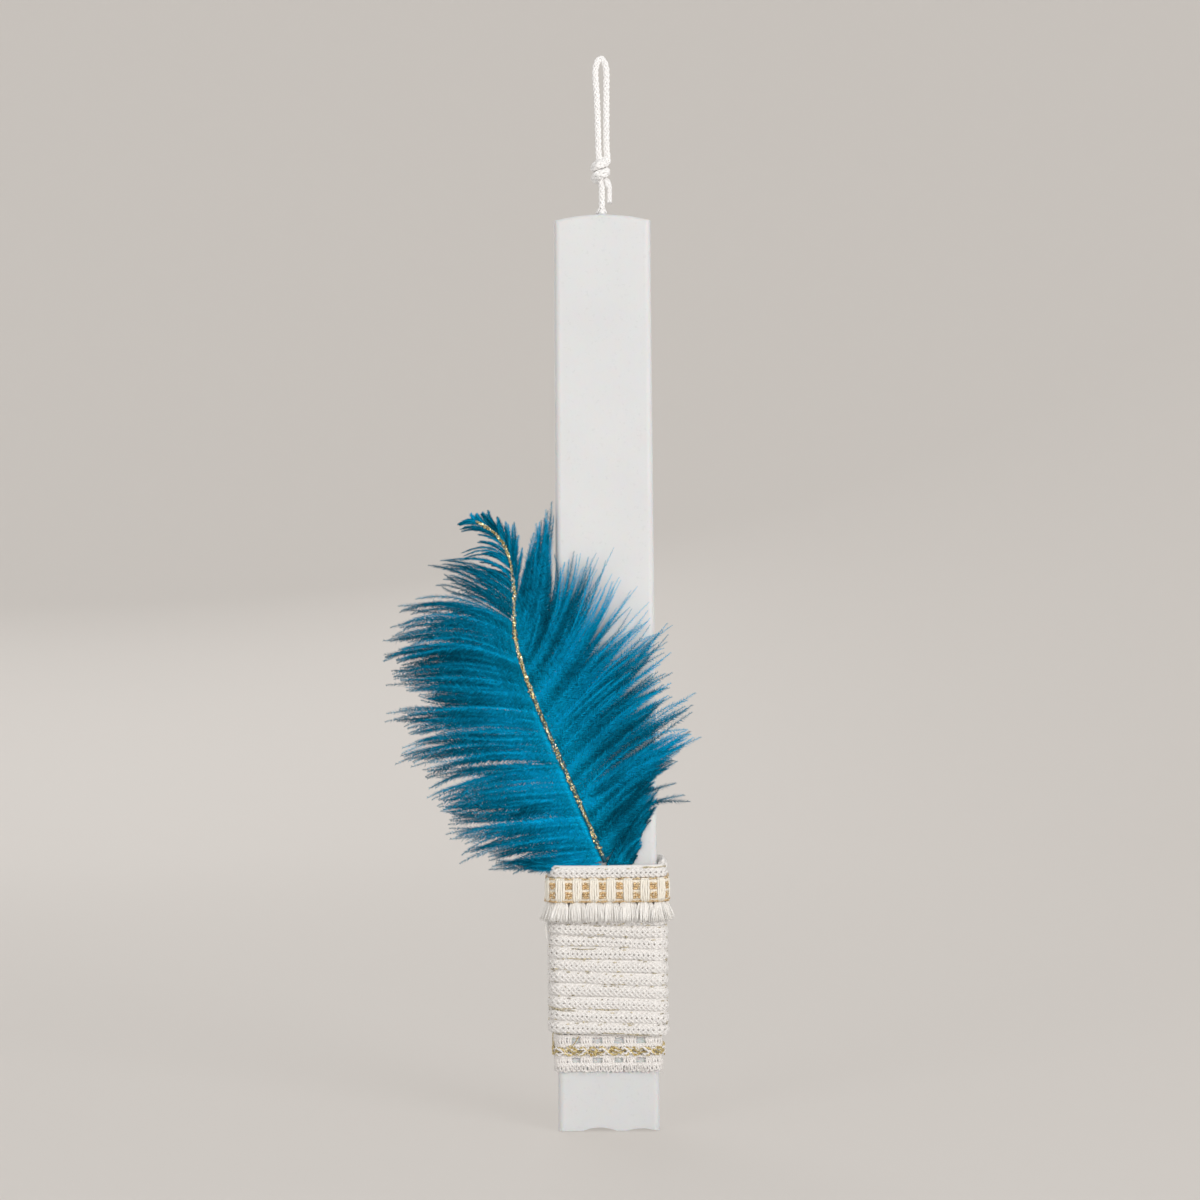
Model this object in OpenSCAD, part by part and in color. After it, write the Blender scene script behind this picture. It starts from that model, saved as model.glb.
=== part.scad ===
// Flat Easter candle that hangs by the loop of its wick, dressed with wound yarn,
// a fringed braid, a lace band and one dyed feather. Sizes are in millimetres.
// The origin is the point of the wick loop that bears on a pin. +Z is up and the
// dressed face looks to -Y. Heights are measured up from the foot of the wax.

/* [Candle] */
// Height of the wax bar
candle_h = 300; // [220:1:380]
// Width of the bar at its foot
candle_w = 33.2; // [27:0.1:42]
// Thickness of the bar
candle_t = 12; // [9.5:0.1:16]
// How much narrower the bar is at its top than at its foot
candle_draft = 1.6; // [0.6:0.1:3]
// Radius of the four long edges
edge_r = 2; // [1.4:0.1:3]
// Rise of the arched top above its corners
arch_rise = 2; // [1.2:0.1:4]
// Radius that softens the rim of the top
rim_r = 1.2; // [0.6:0.1:1.8]
// Depth of the deeper chip in the front edge of the foot
chip_depth = 1.1; // [0.5:0.1:2]

/* [Wick] */
// Diameter of the wick
wick_d = 1.9; // [1.5:0.05:2.3]
// Height of the hanging point above the top of the wax
wick_rise = 51; // [50:0.5:62]
// Height above the foot at which the wick ends inside the wax
wick_foot = 8; // [4:1:20]

/* [Yarn] */
// Diameter of the yarn where it lies free
yarn_d = 3.44; // [2.6:0.02:4.4]
// Diameter of the yarn where the braid presses it
pressed_d = 2.3; // [1.8:0.05:2.5]
// Number of turns round the candle
yarn_turns = 14; // [10:1:20]

/* [Braid] */
// Height of the woven tape
tape_h = 8; // [6:0.1:12]
// Thickness of the woven tape
tape_t = 1.1; // [0.8:0.1:1.6]
// Spacing of the columns of gold squares along the tape
column_pitch = 5.4; // [4.6:0.1:7]
// Side of a gold square
square_side = 2.1; // [1.5:0.1:2.4]
// Length of the fringe
fringe_l = 6.4; // [4:0.1:9]
// Angle at which the fringe flares outwards
fringe_flare = 18; // [14:1:30]

/* [Lace] */
// Height of the lower edge of the lace above the foot
lace_foot = 19; // [10:0.5:30]
// Height of the lace band
lace_h = 11.8; // [9.5:0.1:16]
// Thickness of the lace band
lace_t = 1.2; // [0.8:0.1:1.6]
// Spacing of the holes along the lace
hole_pitch = 7.2; // [6:0.1:9]

/* [Feather] */
// Thickness of the flattened quill under the yarn
quill_t = 0.85; // [0.6:0.05:1.2]
// Width of the flattened quill under the yarn
quill_w = 2.2; // [1.5:0.1:3]
// Length of the quill that the yarn hides
quill_l = 19; // [12:0.5:24]
// Diameter of the shaft at its root
shaft_d = 1.6; // [1.2:0.05:2]
// Barbs on each side of the shaft
barbs = 80; // [40:1:90]
// Width of the glitter line along the shaft
glitter_w = 1.5; // [1:0.1:1.6]

/* [Hidden] */
$fn = 48;

// Clearances: wick in its bore, layers that lie on each other, parts across a bend
bore_clear = 0.02;
lay_clear = 0.15;
bend_clear = 0.3;
cut_over = 1;

hang_z = candle_h + wick_rise;

// Yarn: the winding stands on the lace, and the heights above it follow from it
yarn_gap = 0.46;
yarn_clear = 0.3;
yarn_pitch = yarn_d + yarn_gap;
yarn_end_z = lace_foot + lace_h + lay_clear + yarn_d / 2;
yarn_start_z = yarn_end_z + yarn_pitch * yarn_turns;
first_row_z = yarn_start_z - yarn_pitch / 2;
yarn_lead = 10;
yarn_sides = 6;
hex_flat = cos(180 / yarn_sides);

// Braid: its tape begins under the first row of yarn and presses the rows below
row_lap = 1.3;
tape_top = first_row_z - yarn_d / 2 - row_lap;
tape_foot = tape_top - tape_h;
quill_gap = quill_t + lay_clear;
tape_in = yarn_clear + pressed_d * hex_flat + lay_clear;
seam_w = 0.4;
trim_lift = 0.5;
thread_h = 0.5;
tuft_pitch = 2.7;
tuft_t = 0.8;

// Feather: its root stands just above the first row of yarn
root_x = -0.6;
root_depth = shaft_d / 2 + lay_clear;
root_z = first_row_z + yarn_d / 2 + 1;
quill_lean = 23;
quill_top = shaft_d / 2 + bend_clear;
quill_foot_z = root_z - (quill_top + quill_l) * cos(quill_lean);

// Line of the shaft from its root: [right, out from the wax, up]
shaft_line = [[0, root_depth, 0], [-10, 1.6, 23.5], [-19.5, 2.2, 45.5], [-25.7, 2, 61.5],
              [-29, 1.2, 75], [-29, -0.8, 87], [-30.5, -2.2, 99], [-34.5, -3, 107],
              [-42.5, -3.5, 112.5]];
// Tips of the barbs on each side: [share of the shaft, right of the root, up]
left_tips = [[0, -41.5, 3], [0.06, -52, 9], [0.125, -63, 23.5], [0.25, -68.5, 45],
             [0.375, -70, 64.5], [0.5, -69, 77.5], [0.6, -69, 87], [0.7, -60, 102],
             [0.85, -54, 109], [1, -46, 114]];
right_tips = [[0, 11.5, 5.5], [0.06, 16, 13], [0.125, 24, 29], [0.18, 30, 40], [0.25, 28, 53],
              [0.31, 22.5, 67.5], [0.375, 12, 86], [0.43, 0.5, 97], [0.47, -12, 104],
              [0.52, -18, 114], [0.62, -23, 114], [0.75, -29.5, 115], [1, -41, 115.5]];
left_bow = 0.1;
right_bow = 0.16;
barb_lift = 1;
// Share of the shaft above which the feather lies beside the bar and not on its face
beside_share = 0.5;

// Line of the wick above its bend, from the stem by the knot to the loop and the tail
wick_stem = [[0, 0, -48], [0, 0, -45], [0, 0, -42], [-0.1, 0, -39], [-0.3, 0, -36],
             [-0.7, 0, -33], [-1, 0, -29], [-1.1, 0, -24], [-1.2, 0, -18], [-1.4, 0, -12],
             [-1.7, 0, -7]];
wick_back = [[1.8, 0, -7], [1.75, 0, -12], [1.7, 0, -18], [1.65, 0, -24], [1.7, 0, -29],
             [1.9, 0.2, -31.5]];
wick_tail = [[2.5, 0.2, -41.5], [2.5, 0.1, -44], [2.5, 0, -46.5]];
arch_w = 1.85;
arch_foot = -4;
arch_steps = 8;
knot_r = wick_d + 0.5;
knot_top = -33.2;
knot_foot = -39.8;
knot_turns = 2;
knot_steps = 28;
wick_sides = 8;

function half_w(z) = (candle_w - candle_draft * z / candle_h) / 2;
function clamp(f) = min(1, max(0, f));
function mix(a, b, f) = a + (b - a) * f;
function unit(v) = v / norm(v);
function square_to(u, t) = unit(u - (u * t) * t);
function flat(lists) = [for (l = lists) each l];
function sum_to(list, n) = n == 0 ? 0 : list[n - 1] + sum_to(list, n - 1);

// A layer round the bar: [half width, reach to the front, reach to the back, corner radius]
function layer(z, side, front) =
    [half_w(z) + side, candle_t / 2 + front, candle_t / 2 + side, edge_r + side];
// Runs of a layer, from the middle of the back by the left side, the front and the right side
function runs(l) =
    let (a = l[0] - l[3], b = l[1] + l[2] - 2 * l[3], q = PI * l[3] / 2)
    [a, q, b, q, 2 * a, q, b, q, a];
function girth(l) = sum_to(runs(l), 9);
// Place on run i at share f: [x, y, angle of the outward normal]
function spot(l, i, f) =
    let (a = l[0] - l[3], yf = l[1] - l[3], yb = l[2] - l[3], n = 45 * (i + 1) + 90 * f)
    i % 2 == 1
    ? [(i < 4 ? -a : a) + l[3] * cos(n), (i == 1 || i == 7 ? yb : -yf) + l[3] * sin(n), n]
    : i == 0 ? [-a * f, l[2], 90]
    : i == 2 ? [-l[0], mix(yb, -yf, f), 180]
    : i == 4 ? [mix(-a, a, f), -l[1], 270]
    : i == 6 ? [l[0], mix(-yf, yb, f), 360]
    : [a * (1 - f), l[2], 450];
// Place at a length s along a layer
function walk(l, s, i = 0) =
    let (r = runs(l)[i])
    i == 8 || s <= r ? spot(l, i, s / r) : walk(l, s - r, i + 1);

// Ring of points with heading t and side direction u
function ring(c, t, u, r, sides, turn = 0) =
    let (v = cross(t, u))
    [for (k = [0:sides - 1])
        let (a = 360 * k / sides + turn)
        c + r * (cos(a) * u + sin(a) * v)];
function heading(p, i) = unit(p[min(i + 1, len(p) - 1)] - p[max(i - 1, 0)]);
// Rings of a tube along points with a radius each, kept from twisting
function tube_rings(p, r, sides, u0) =
    let (us = [for (i = 0, u = square_to(u0, heading(p, 0)); i < len(p);
                    i = i + 1, u = square_to(u, heading(p, i))) u])
    [for (i = [0:len(p) - 1])
        ring(p[i], heading(p, i), us[i], r[i], sides)];

// Round end that leads into a tube at p: points and their radii
dome_steps = [75, 50, 25];
function dome_path(p, t, r) = [for (a = dome_steps) p - r * sin(a) * t];
function dome_radii(r) = [for (a = dome_steps) r * cos(a)];

// Closed skin over rings that have the same number of points
module skin(rings) {
    n = len(rings[0]);
    e = (len(rings) - 1) * n;
    walls = [for (i = [0:len(rings) - 2], k = [0:n - 1])
        let (a = i * n + k, b = i * n + (k + 1) % n)
        each [[a, a + n, b + n], [a, b + n, b]]];
    caps = [for (k = [1:n - 2]) each [[0, k, k + 1], [e, e + k + 1, e + k]]];
    polyhedron(points = flat(rings), faces = concat(walls, caps));
}

// Everything but the wick loop is placed from the foot of the wax
module hung() {
    translate([0, 0, -hang_z]) children();
}

// Outline of a layer with round corners
module outline(l) {
    depth = l[1] + l[2];
    translate([0, (l[2] - l[1]) / 2]) {
        square([2 * l[0], depth - 2 * l[3]], center = true);
        square([2 * (l[0] - l[3]), depth], center = true);
        for (x = [-1, 1], y = [-1, 1])
            translate([x * (l[0] - l[3]), y * (depth / 2 - l[3])]) circle(l[3]);
    }
}

// Band between two layers, open at a seam in the middle of the back
module band(inner, outer, z, h) {
    translate([0, 0, z]) linear_extrude(h) difference() {
        outline(outer);
        outline(inner);
        translate([-seam_w / 2, 0]) square([seam_w, 2 * candle_t]);
    }
}

// Children stand on a layer at length s, with +Y pointing outwards
module stand_on(l, s, z) {
    p = walk(l, s);
    translate([p[0], p[1], z]) rotate(p[2] - 90) children();
}

// Wax bar whose right side leans in by the draft; its left side lies beyond the candle
module leaning_bar() {
    spare = candle_w / 2;
    lean = atan(candle_draft / 2 / candle_h);
    translate([candle_w / 2, 0, 0]) rotate([0, -lean, 0])
        translate([0, 0, -cut_over]) linear_extrude(candle_h + 2 * cut_over)
            translate([-(candle_w + spare) / 2, 0])
                outline([(candle_w + spare) / 2, candle_t / 2, candle_t / 2, edge_r]);
}

// Arched top with a soft rim, over a plain block that ends at the foot
module arched_block() {
    top_w = candle_w - candle_draft;
    arch_r = (pow(top_w / 2, 2) + pow(arch_rise, 2)) / (2 * arch_rise);
    translate([0, 0, candle_h - arch_r]) rotate([90, 0, 0]) rotate_extrude() {
        translate([0, -candle_t / 2]) square([arch_r - rim_r, candle_t]);
        translate([0, rim_r - candle_t / 2]) square([arch_r, candle_t - 2 * rim_r]);
        for (y = [-1, 1])
            translate([arch_r - rim_r, y * (candle_t / 2 - rim_r)]) circle(rim_r);
    }
    translate([-candle_w, -candle_t / 2, 0])
        cube([2 * candle_w, candle_t, candle_h - arch_r]);
}

// Chip in the front edge of the foot, fading out towards the back
module chip(x, width, depth) {
    r = (pow(width / 2, 2) + pow(depth, 2)) / (2 * depth);
    translate([x, -candle_t / 2, depth - r]) rotate([-90 - atan(depth / candle_t), 0, 0])
        translate([0, 0, -candle_t]) cylinder(r = r, h = 4 * candle_t);
}

module candle_body() {
    collar_h = 0.9;
    collar_d = 4.6;
    bore_d = wick_d + 2 * bore_clear;
    color("whitesmoke") difference() {
        union() {
            intersection() {
                leaning_bar();
                mirror([1, 0, 0]) leaning_bar();
                arched_block();
            }
            translate([0, 0, candle_h - collar_h / 2])
                cylinder(d1 = collar_d, d2 = bore_d + 0.5, h = 1.5 * collar_h);
        }
        translate([0, 0, wick_foot]) cylinder(d = bore_d, h = candle_h);
        chip(-0.095 * candle_w, 0.33 * candle_w, chip_depth);
        chip(0.32 * candle_w, 0.28 * candle_w, 0.7 * chip_depth);
    }
}

module wick_core() {
    bend_z = hang_z + wick_stem[0][2];
    color("ivory") translate([0, 0, wick_foot])
        cylinder(d = wick_d, h = bend_z - wick_d / 2 - bend_clear - wick_foot);
}

// Stem, loop, the knot's turns round the stem, and the tail
function wick_path() =
    let (stem_x = function(z) lookup(z, [for (p = wick_stem) [p[2], p[0]]]),
         arch_h = wick_d / 2 - arch_foot,
         arch = [for (i = [0:arch_steps])
             let (a = 180 - 180 * i / arch_steps)
             [arch_w * cos(a), 0, arch_foot + arch_h * sin(a)]],
         knot = [for (i = [0:knot_steps])
             let (f = i / knot_steps, z = mix(knot_top, knot_foot, f), a = 360 * knot_turns * f)
             [stem_x(z) + knot_r * cos(a), -knot_r * sin(a), z]])
    concat(wick_stem, arch, wick_back, knot, wick_tail);

// Least gap of the wick to itself, on points along its line
function wick_gap(p, apart = 6) =
    let (fine = [for (i = [0:len(p) - 2], f = [0, 0.5]) mix(p[i], p[i + 1], f)])
    min([for (i = [0:len(fine) - 1], j = [i + 2 * apart:1:len(fine) - 1])
        norm(fine[i] - fine[j])]) - wick_d;

module wick_loop() {
    path = wick_path();
    echo(wick_gap = wick_gap(path));
    end = dome_path(path[0], [0, 0, 1], wick_d / 2);
    radii = concat(dome_radii(wick_d / 2), [for (p = path) wick_d / 2]);
    color("ivory") skin(tube_rings(concat(end, path), radii, wick_sides, [0, 1, 0]));
}

// The yarn is thinner where the tape presses it, and stands off the quill at the front
function yarn_r(z) =
    let (above = (tape_top + yarn_d / 2 + 0.15 - z) / ((yarn_d - pressed_d) / 2 + 0.3),
         below = (z - tape_foot + yarn_d + 1.1) / (yarn_d - pressed_d / 2 + 0.75))
    mix(yarn_d, pressed_d, clamp(min(above, below))) / 2;
function yarn_layer(z) =
    let (out = yarn_clear + yarn_r(z) * hex_flat,
         over = clamp((z + yarn_d / 2 - quill_foot_z) / yarn_pitch + 1))
    layer(z, out, out + quill_gap * over);
// Twenty-four places of a turn: [run, share]
yarn_stops = concat([[0, 0], [0, 0.5]], [for (f = [0, 1, 2]) [1, f / 3]], [[2, 0], [2, 0.5]],
                    [for (f = [0, 1, 2]) [3, f / 3]], [for (f = [0:3]) [4, f / 4]],
                    [for (f = [0, 1, 2]) [5, f / 3]], [[6, 0], [6, 0.5]],
                    [for (f = [0, 1, 2]) [7, f / 3]], [[8, 0], [8, 0.5]]);
// Ring centres of the winding, which starts by the right end of the front and runs on past
// the middle of the back: [x, y, z, angle of the normal]
function yarn_line() =
    let (stops = len(yarn_stops))
    [for (i = [-yarn_lead:stops * yarn_turns])
        let (stop = yarn_stops[(i + stops) % stops],
             l0 = layer(yarn_end_z, yarn_clear + yarn_d / 2, yarn_clear + yarn_d / 2),
             share = (sum_to(runs(l0), stop[0]) + stop[1] * runs(l0)[stop[0]]) / girth(l0),
             z = yarn_start_z - yarn_pitch * (floor(i / stops) + share),
             p = spot(yarn_layer(z), stop[0], stop[1]))
        [p[0], p[1], z, p[2]]];
// Least gap between neighbouring turns
function yarn_least_gap(line) =
    let (stops = len(yarn_stops), at = function(i) [line[i][0], line[i][1], line[i][2]])
    min([for (i = [0:len(line) - stops - 4], j = [i + stops - 3:i + stops + 3])
        norm(at(i) - at(j)) - yarn_r(line[i][2]) - yarn_r(line[j][2])]);

module yarn_wrap() {
    line = yarn_line();
    echo(yarn_gap = yarn_least_gap(line));
    color("linen") skin([for (p = line)
        ring([p[0], p[1], p[2]], [-sin(p[3]), cos(p[3]), 0], [cos(p[3]), sin(p[3]), 0],
             yarn_r(p[2]), yarn_sides, 180 / yarn_sides)]);
}

// Layers of the braid, measured at the middle of its tape
tape_z = tape_foot + tape_h / 2;
function tape_layer(out) = layer(tape_z, tape_in + out, tape_in + quill_gap + out);
columns = round(girth(tape_layer(tape_t)) / column_pitch);
column_step = girth(tape_layer(tape_t)) / columns;
column_shift = 1.2;
square_rows = [0.3, 0.68];

module braid_tape() {
    color("wheat") band(tape_layer(0), tape_layer(tape_t), tape_foot, tape_h);
}

// Bundles of three cords between the columns of squares
module braid_ribs() {
    cord_d = (column_step - square_side - 3 * lay_clear) / 3;
    cord_h = tape_h - 2 * thread_h - 4 * lay_clear;
    color("cornsilk") for (i = [0:columns - 1])
        stand_on(tape_layer(tape_t), (i + 1) * column_step + column_shift, tape_z - cord_h / 2)
            intersection() {
                for (k = [-1:1]) translate([k * cord_d * 0.95, 0, 0])
                    cylinder(d = cord_d, h = cord_h);
                translate([-column_step, 0, 0]) cube([2 * column_step, trim_lift, cord_h]);
            }
}

module braid_squares() {
    color("goldenrod") for (i = [0:columns - 1], row = square_rows)
        stand_on(tape_layer(tape_t), (i + 0.5) * column_step + column_shift,
                 tape_foot + row * tape_h)
            translate([-square_side / 2, 0, -square_side / 2])
                cube([square_side, trim_lift, square_side]);
}

module braid_threads() {
    color("darkgoldenrod")
        for (z = [tape_foot + lay_clear, tape_top - thread_h - lay_clear])
            band(tape_layer(tape_t), tape_layer(tape_t + trim_lift), z, thread_h);
}

// Tufts that hang from the tape and flare outwards
module braid_fringe() {
    mid = tape_layer(tape_t / 2);
    tufts = round(girth(mid) / tuft_pitch);
    step = girth(mid) / tufts;
    top_w = step - 2.5 * lay_clear;
    foot_w = step - lay_clear;
    color("cornsilk") for (i = [0:tufts - 1])
        stand_on(mid, (i + 0.5) * step, tape_foot - lay_clear)
            rotate([fringe_flare, 0, 0]) translate([0, tuft_t / 2, 0]) rotate([90, 0, 0])
                linear_extrude(tuft_t) polygon([[-top_w / 2, 0], [top_w / 2, 0],
                                                [foot_w / 2, -fringe_l], [-foot_w / 2, -fringe_l]]);
}

lace_mid_z = lace_foot + lace_h / 2;
function lace_layer(out) = layer(lace_mid_z, lay_clear + out, lay_clear + out);
// Rows of holes in the lace: [share of its height, width, height]
hole_rows = [[0.8, 4.4, 1.5], [0.28, 5, 2.2]];
scallop_r = 1.5;

// Holes of the lace across one face, along X
module lace_holes(count) {
    for (i = [0:count - 1], row = hole_rows)
        translate([(i - (count - 1) / 2) * hole_pitch, 0, lace_foot + row[0] * lace_h])
            cube([row[1], 4 * candle_w, row[2]], center = true);
    for (i = [0:count])
        translate([(i - count / 2) * hole_pitch, 0, lace_foot - scallop_r / 3])
            rotate([90, 0, 0]) cylinder(r = scallop_r, h = 4 * candle_w, center = true);
}

module lace_band() {
    face = floor((2 * half_w(lace_mid_z) - 2 * edge_r) / hole_pitch);
    color("antiquewhite") difference() {
        band(lace_layer(0), lace_layer(lace_t), lace_foot, lace_h);
        lace_holes(face);
        rotate(90) lace_holes(1);
    }
}

// Gold cord that zigzags round the middle of the lace
module lace_gold_thread() {
    cord_r = 0.5;
    wave_h = 1.3;
    wave_rings = 6;
    l = lace_layer(lace_t + lay_clear + cord_r);
    waves = round(girth(l) / hole_pitch);
    step = (girth(l) - seam_w) / (waves * wave_rings);
    path = [for (i = [0:waves * wave_rings])
        let (p = walk(l, seam_w / 2 + i * step))
        [p[0], p[1], lace_foot + 0.56 * lace_h + wave_h * sin(360 * i / wave_rings)]];
    radii = [for (p = path) cord_r];
    color("goldenrod") skin(tube_rings(path, radii, yarn_sides, [0, 1, 0]));
}

// Children lie along the hidden quill: +Z up the quill from the root, -Y out of the wax
module along_quill() {
    translate([root_x, -candle_t / 2, root_z]) rotate([0, -quill_lean, 0]) children();
}

module quill_outline(extra) {
    w = quill_w + 2 * extra;
    translate([-w / 2, -quill_top - quill_l + w / 2]) square([w, quill_l - w / 2]);
    translate([0, -quill_top - quill_l + w / 2]) circle(w / 2);
}

module quill_stub() {
    color("tan") along_quill() translate([0, -lay_clear, 0]) rotate([90, 0, 0])
        linear_extrude(quill_t) quill_outline(0);
}

// Dried glue that runs along both sides of the quill and round its end
module quill_glue() {
    glue_w = 1.4;
    glue_t = 0.6 * quill_t;
    color("ivory") along_quill() rotate([90, 0, 0]) linear_extrude(glue_t) difference() {
        quill_outline(glue_w);
        quill_outline(lay_clear);
        translate([-quill_w * 2, -quill_top - quill_l / 2]) square([quill_w * 4, quill_l]);
    }
}

// Point of the shaft at share s, on a smooth curve through its line
function shaft_at(s) =
    let (n = len(shaft_line) - 1, t = clamp(s) * n, i = min(n - 1, floor(t)), f = t - i,
         b = shaft_line[i], c = shaft_line[i + 1],
         a = i > 0 ? shaft_line[i - 1] : 2 * b - c,
         d = i < n - 1 ? shaft_line[i + 2] : 2 * c - b,
         p = b + 0.5 * f * (c - a + f * (2 * a - 5 * b + 4 * c - d + f * (3 * (b - c) + d - a))))
    [root_x + p[0], -candle_t / 2 - p[1], root_z + p[2]];
function shaft_way(s) = unit(shaft_at(s + 0.01) - shaft_at(s - 0.01));
function shaft_r(s) = mix(shaft_d / 2, 0.3, clamp(s));
shaft_rings = 24;

module feather_shaft() {
    path = [for (i = [0:shaft_rings]) shaft_at(i / shaft_rings)];
    end = dome_path(path[0], shaft_way(0), shaft_r(0));
    radii = concat(dome_radii(shaft_r(0)), [for (i = [0:shaft_rings]) shaft_r(i / shaft_rings)]);
    color("darkslategray") skin(tube_rings(concat(end, path), radii, wick_sides, [0, 1, 0]));
}

// Line of glitter on the front of the shaft
module feather_glitter() {
    bead_t = 0.5;
    path = [for (i = [1:shaft_rings - 1])
        let (s = i / shaft_rings)
        shaft_at(s) - [0, shaft_r(s) + lay_clear, 0]];
    color("gold") skin([for (i = [0:len(path) - 1])
        let (t = heading(path, i), u = unit(cross(t, [0, 1, 0])),
             w = glitter_w / 2 * (1 - 0.4 * i / len(path)))
        [path[i] - w * u, path[i] - 0.6 * w * u + bead_t * cross(t, u),
         path[i] + 0.6 * w * u + bead_t * cross(t, u), path[i] + w * u]]);
}

// Barbs keep off the wax: past a long edge they droop, beside it they stay clear
function barb_point(p, beside) =
    let (over = max(0, abs(p[0]) - half_w(p[2]) - barb_lift))
    [beside ? min(p[0], -half_w(p[2]) - barb_lift) : p[0],
     p[1] + (beside ? 0 : 0.0022 * over * over), p[2]];
// Line of a barb from its base to its tip: a parabola bowed towards the tip of the feather
function barb_at(base, tip, bow, beside, u) =
    let (c = mix(base, tip, 0.5) + bow * norm(tip - base) * [0, 0, 1])
    barb_point((1 - u) * (1 - u) * base + 2 * u * (1 - u) * c + u * u * tip, beside);

// One side of the feather: a strip along the shaft that carries a comb of barbs
module vane(side, tips, bow) {
    barb_steps = [0.3, 0.6, 0.85];
    strip_w = 0.6;
    strip_t = 0.6;
    n = barbs;
    rings = len(barb_steps);
    share = function(j) mix(0.015, 0.985, j / n);
    off = function(s)
        let (t = shaft_way(s)) side * unit([t[2], 0, -t[0]]);
    station = [for (j = [0:n])
        let (s = share(j), p = shaft_at(s), o = off(s), a = shaft_r(s) + lay_clear,
             y = [0, strip_t / 2, 0])
        each [p + a * o - y, p + a * o + y, p + (a + strip_w) * o + y, p + (a + strip_w) * o - y]];
    barb = [for (j = [0:n - 1])
        let (s = share(j + 0.5), p = shaft_at(s), beside = s > beside_share,
             base = p + (shaft_r(s) + lay_clear + strip_w) * off(s),
             reach = 1 - 0.12 * abs(sin(47 * j)),
             far = [root_x + lookup(s, [for (q = tips) [q[0], q[1]]]), base[1],
                    root_z + lookup(s, [for (q = tips) [q[0], q[2]]])],
             tip = mix(base, far, reach),
             slot = norm(shaft_at(share(j + 1)) - shaft_at(share(j))))
        each concat(
            [for (u = barb_steps)
                let (c = barb_at(base, tip, bow, beside, u),
                     t = unit(barb_at(base, tip, bow, beside, u + 0.02) - c),
                     w = 0.42 * slot * sqrt(1 - u) * unit(cross(t, [0, side, 0])),
                     y = [0, strip_t / 2 * (1 - 0.6 * u), 0])
                each [c - w + y, c - w - y, c + w - y, c + w + y]],
            [barb_at(base, tip, bow, beside, 1)])];
    first = 4 * (n + 1);
    block = 4 * rings + 1;
    quad = function(a, b, c, d) [[a, b, c], [a, c, d]];
    strip_faces = [for (j = [0:n - 1], k = [0, 1, 3])
        let (a = 4 * j + k, b = 4 * j + (k + 1) % 4)
        each quad(a, a + 4, b + 4, b)];
    ends = concat(quad(0, 1, 2, 3), quad(4 * n + 3, 4 * n + 2, 4 * n + 1, 4 * n));
    barb_faces = [for (j = [0:n - 1])
        let (v = first + j * block,
             loops = concat([[4 * j + 2, 4 * j + 3, 4 * j + 7, 4 * j + 6]],
                            [for (i = [0:rings - 1]) [for (k = [0:3]) v + 4 * i + k]]))
        each concat(
            [for (i = [0:rings - 1], k = [0:3])
                each quad(loops[i][k], loops[i + 1][k], loops[i + 1][(k + 1) % 4],
                          loops[i][(k + 1) % 4])],
            [for (k = [0:3]) [loops[rings][k], v + 4 * rings, loops[rings][(k + 1) % 4]]])];
    faces = concat(strip_faces, ends, barb_faces);
    polyhedron(points = concat(station, barb),
               faces = side < 0 ? faces : [for (f = faces) [f[0], f[2], f[1]]]);
}

module feather_left_vane() {
    color("teal") vane(-1, left_tips, left_bow);
}

module feather_right_vane() {
    color("darkcyan") vane(1, right_tips, right_bow);
}

hung() candle_body();
hung() wick_core();
wick_loop();
hung() yarn_wrap();
hung() braid_tape();
hung() braid_ribs();
hung() braid_squares();
hung() braid_threads();
hung() braid_fringe();
hung() lace_band();
hung() lace_gold_thread();
hung() quill_stub();
hung() quill_glue();
hung() feather_shaft();
hung() feather_left_vane();
hung() feather_right_vane();
hung() feather_glitter();
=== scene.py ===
"""Looks of a flat Easter candle that hangs by its wick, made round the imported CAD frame.

Lengths are in millimetres and heights are measured up from the foot of the wax, as in the
part's source. place() turns such points into the frame's metres.
"""
import math
from contextlib import contextmanager

import bpy
import numpy as np
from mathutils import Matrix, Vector


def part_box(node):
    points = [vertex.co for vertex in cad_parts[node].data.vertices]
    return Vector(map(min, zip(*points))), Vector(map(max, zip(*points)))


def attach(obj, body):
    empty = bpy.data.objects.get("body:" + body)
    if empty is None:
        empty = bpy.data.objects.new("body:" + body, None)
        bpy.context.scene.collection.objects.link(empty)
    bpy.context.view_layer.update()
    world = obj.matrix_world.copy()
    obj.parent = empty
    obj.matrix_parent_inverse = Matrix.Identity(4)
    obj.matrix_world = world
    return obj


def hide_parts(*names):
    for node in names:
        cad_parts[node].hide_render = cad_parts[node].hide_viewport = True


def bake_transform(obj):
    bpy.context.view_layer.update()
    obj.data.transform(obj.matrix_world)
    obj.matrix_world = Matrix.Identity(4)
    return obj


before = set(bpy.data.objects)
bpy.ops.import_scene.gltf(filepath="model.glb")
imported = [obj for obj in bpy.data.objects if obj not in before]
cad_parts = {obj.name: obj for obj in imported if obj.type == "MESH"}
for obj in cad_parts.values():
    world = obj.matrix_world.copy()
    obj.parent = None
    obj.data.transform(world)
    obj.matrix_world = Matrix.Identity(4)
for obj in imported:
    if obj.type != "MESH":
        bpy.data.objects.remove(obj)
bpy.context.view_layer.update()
MM = 0.001

# The wax bar, read from the frame
wax_low, wax_high = (np.array(corner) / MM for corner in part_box("candle_body"))
FOOT_Z = wax_low[2]
HALF_FOOT = wax_high[0]
HALF_T = wax_high[1]
CANDLE_H = 300
HALF_DRAFT = 0.8
EDGE_R = 2

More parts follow.
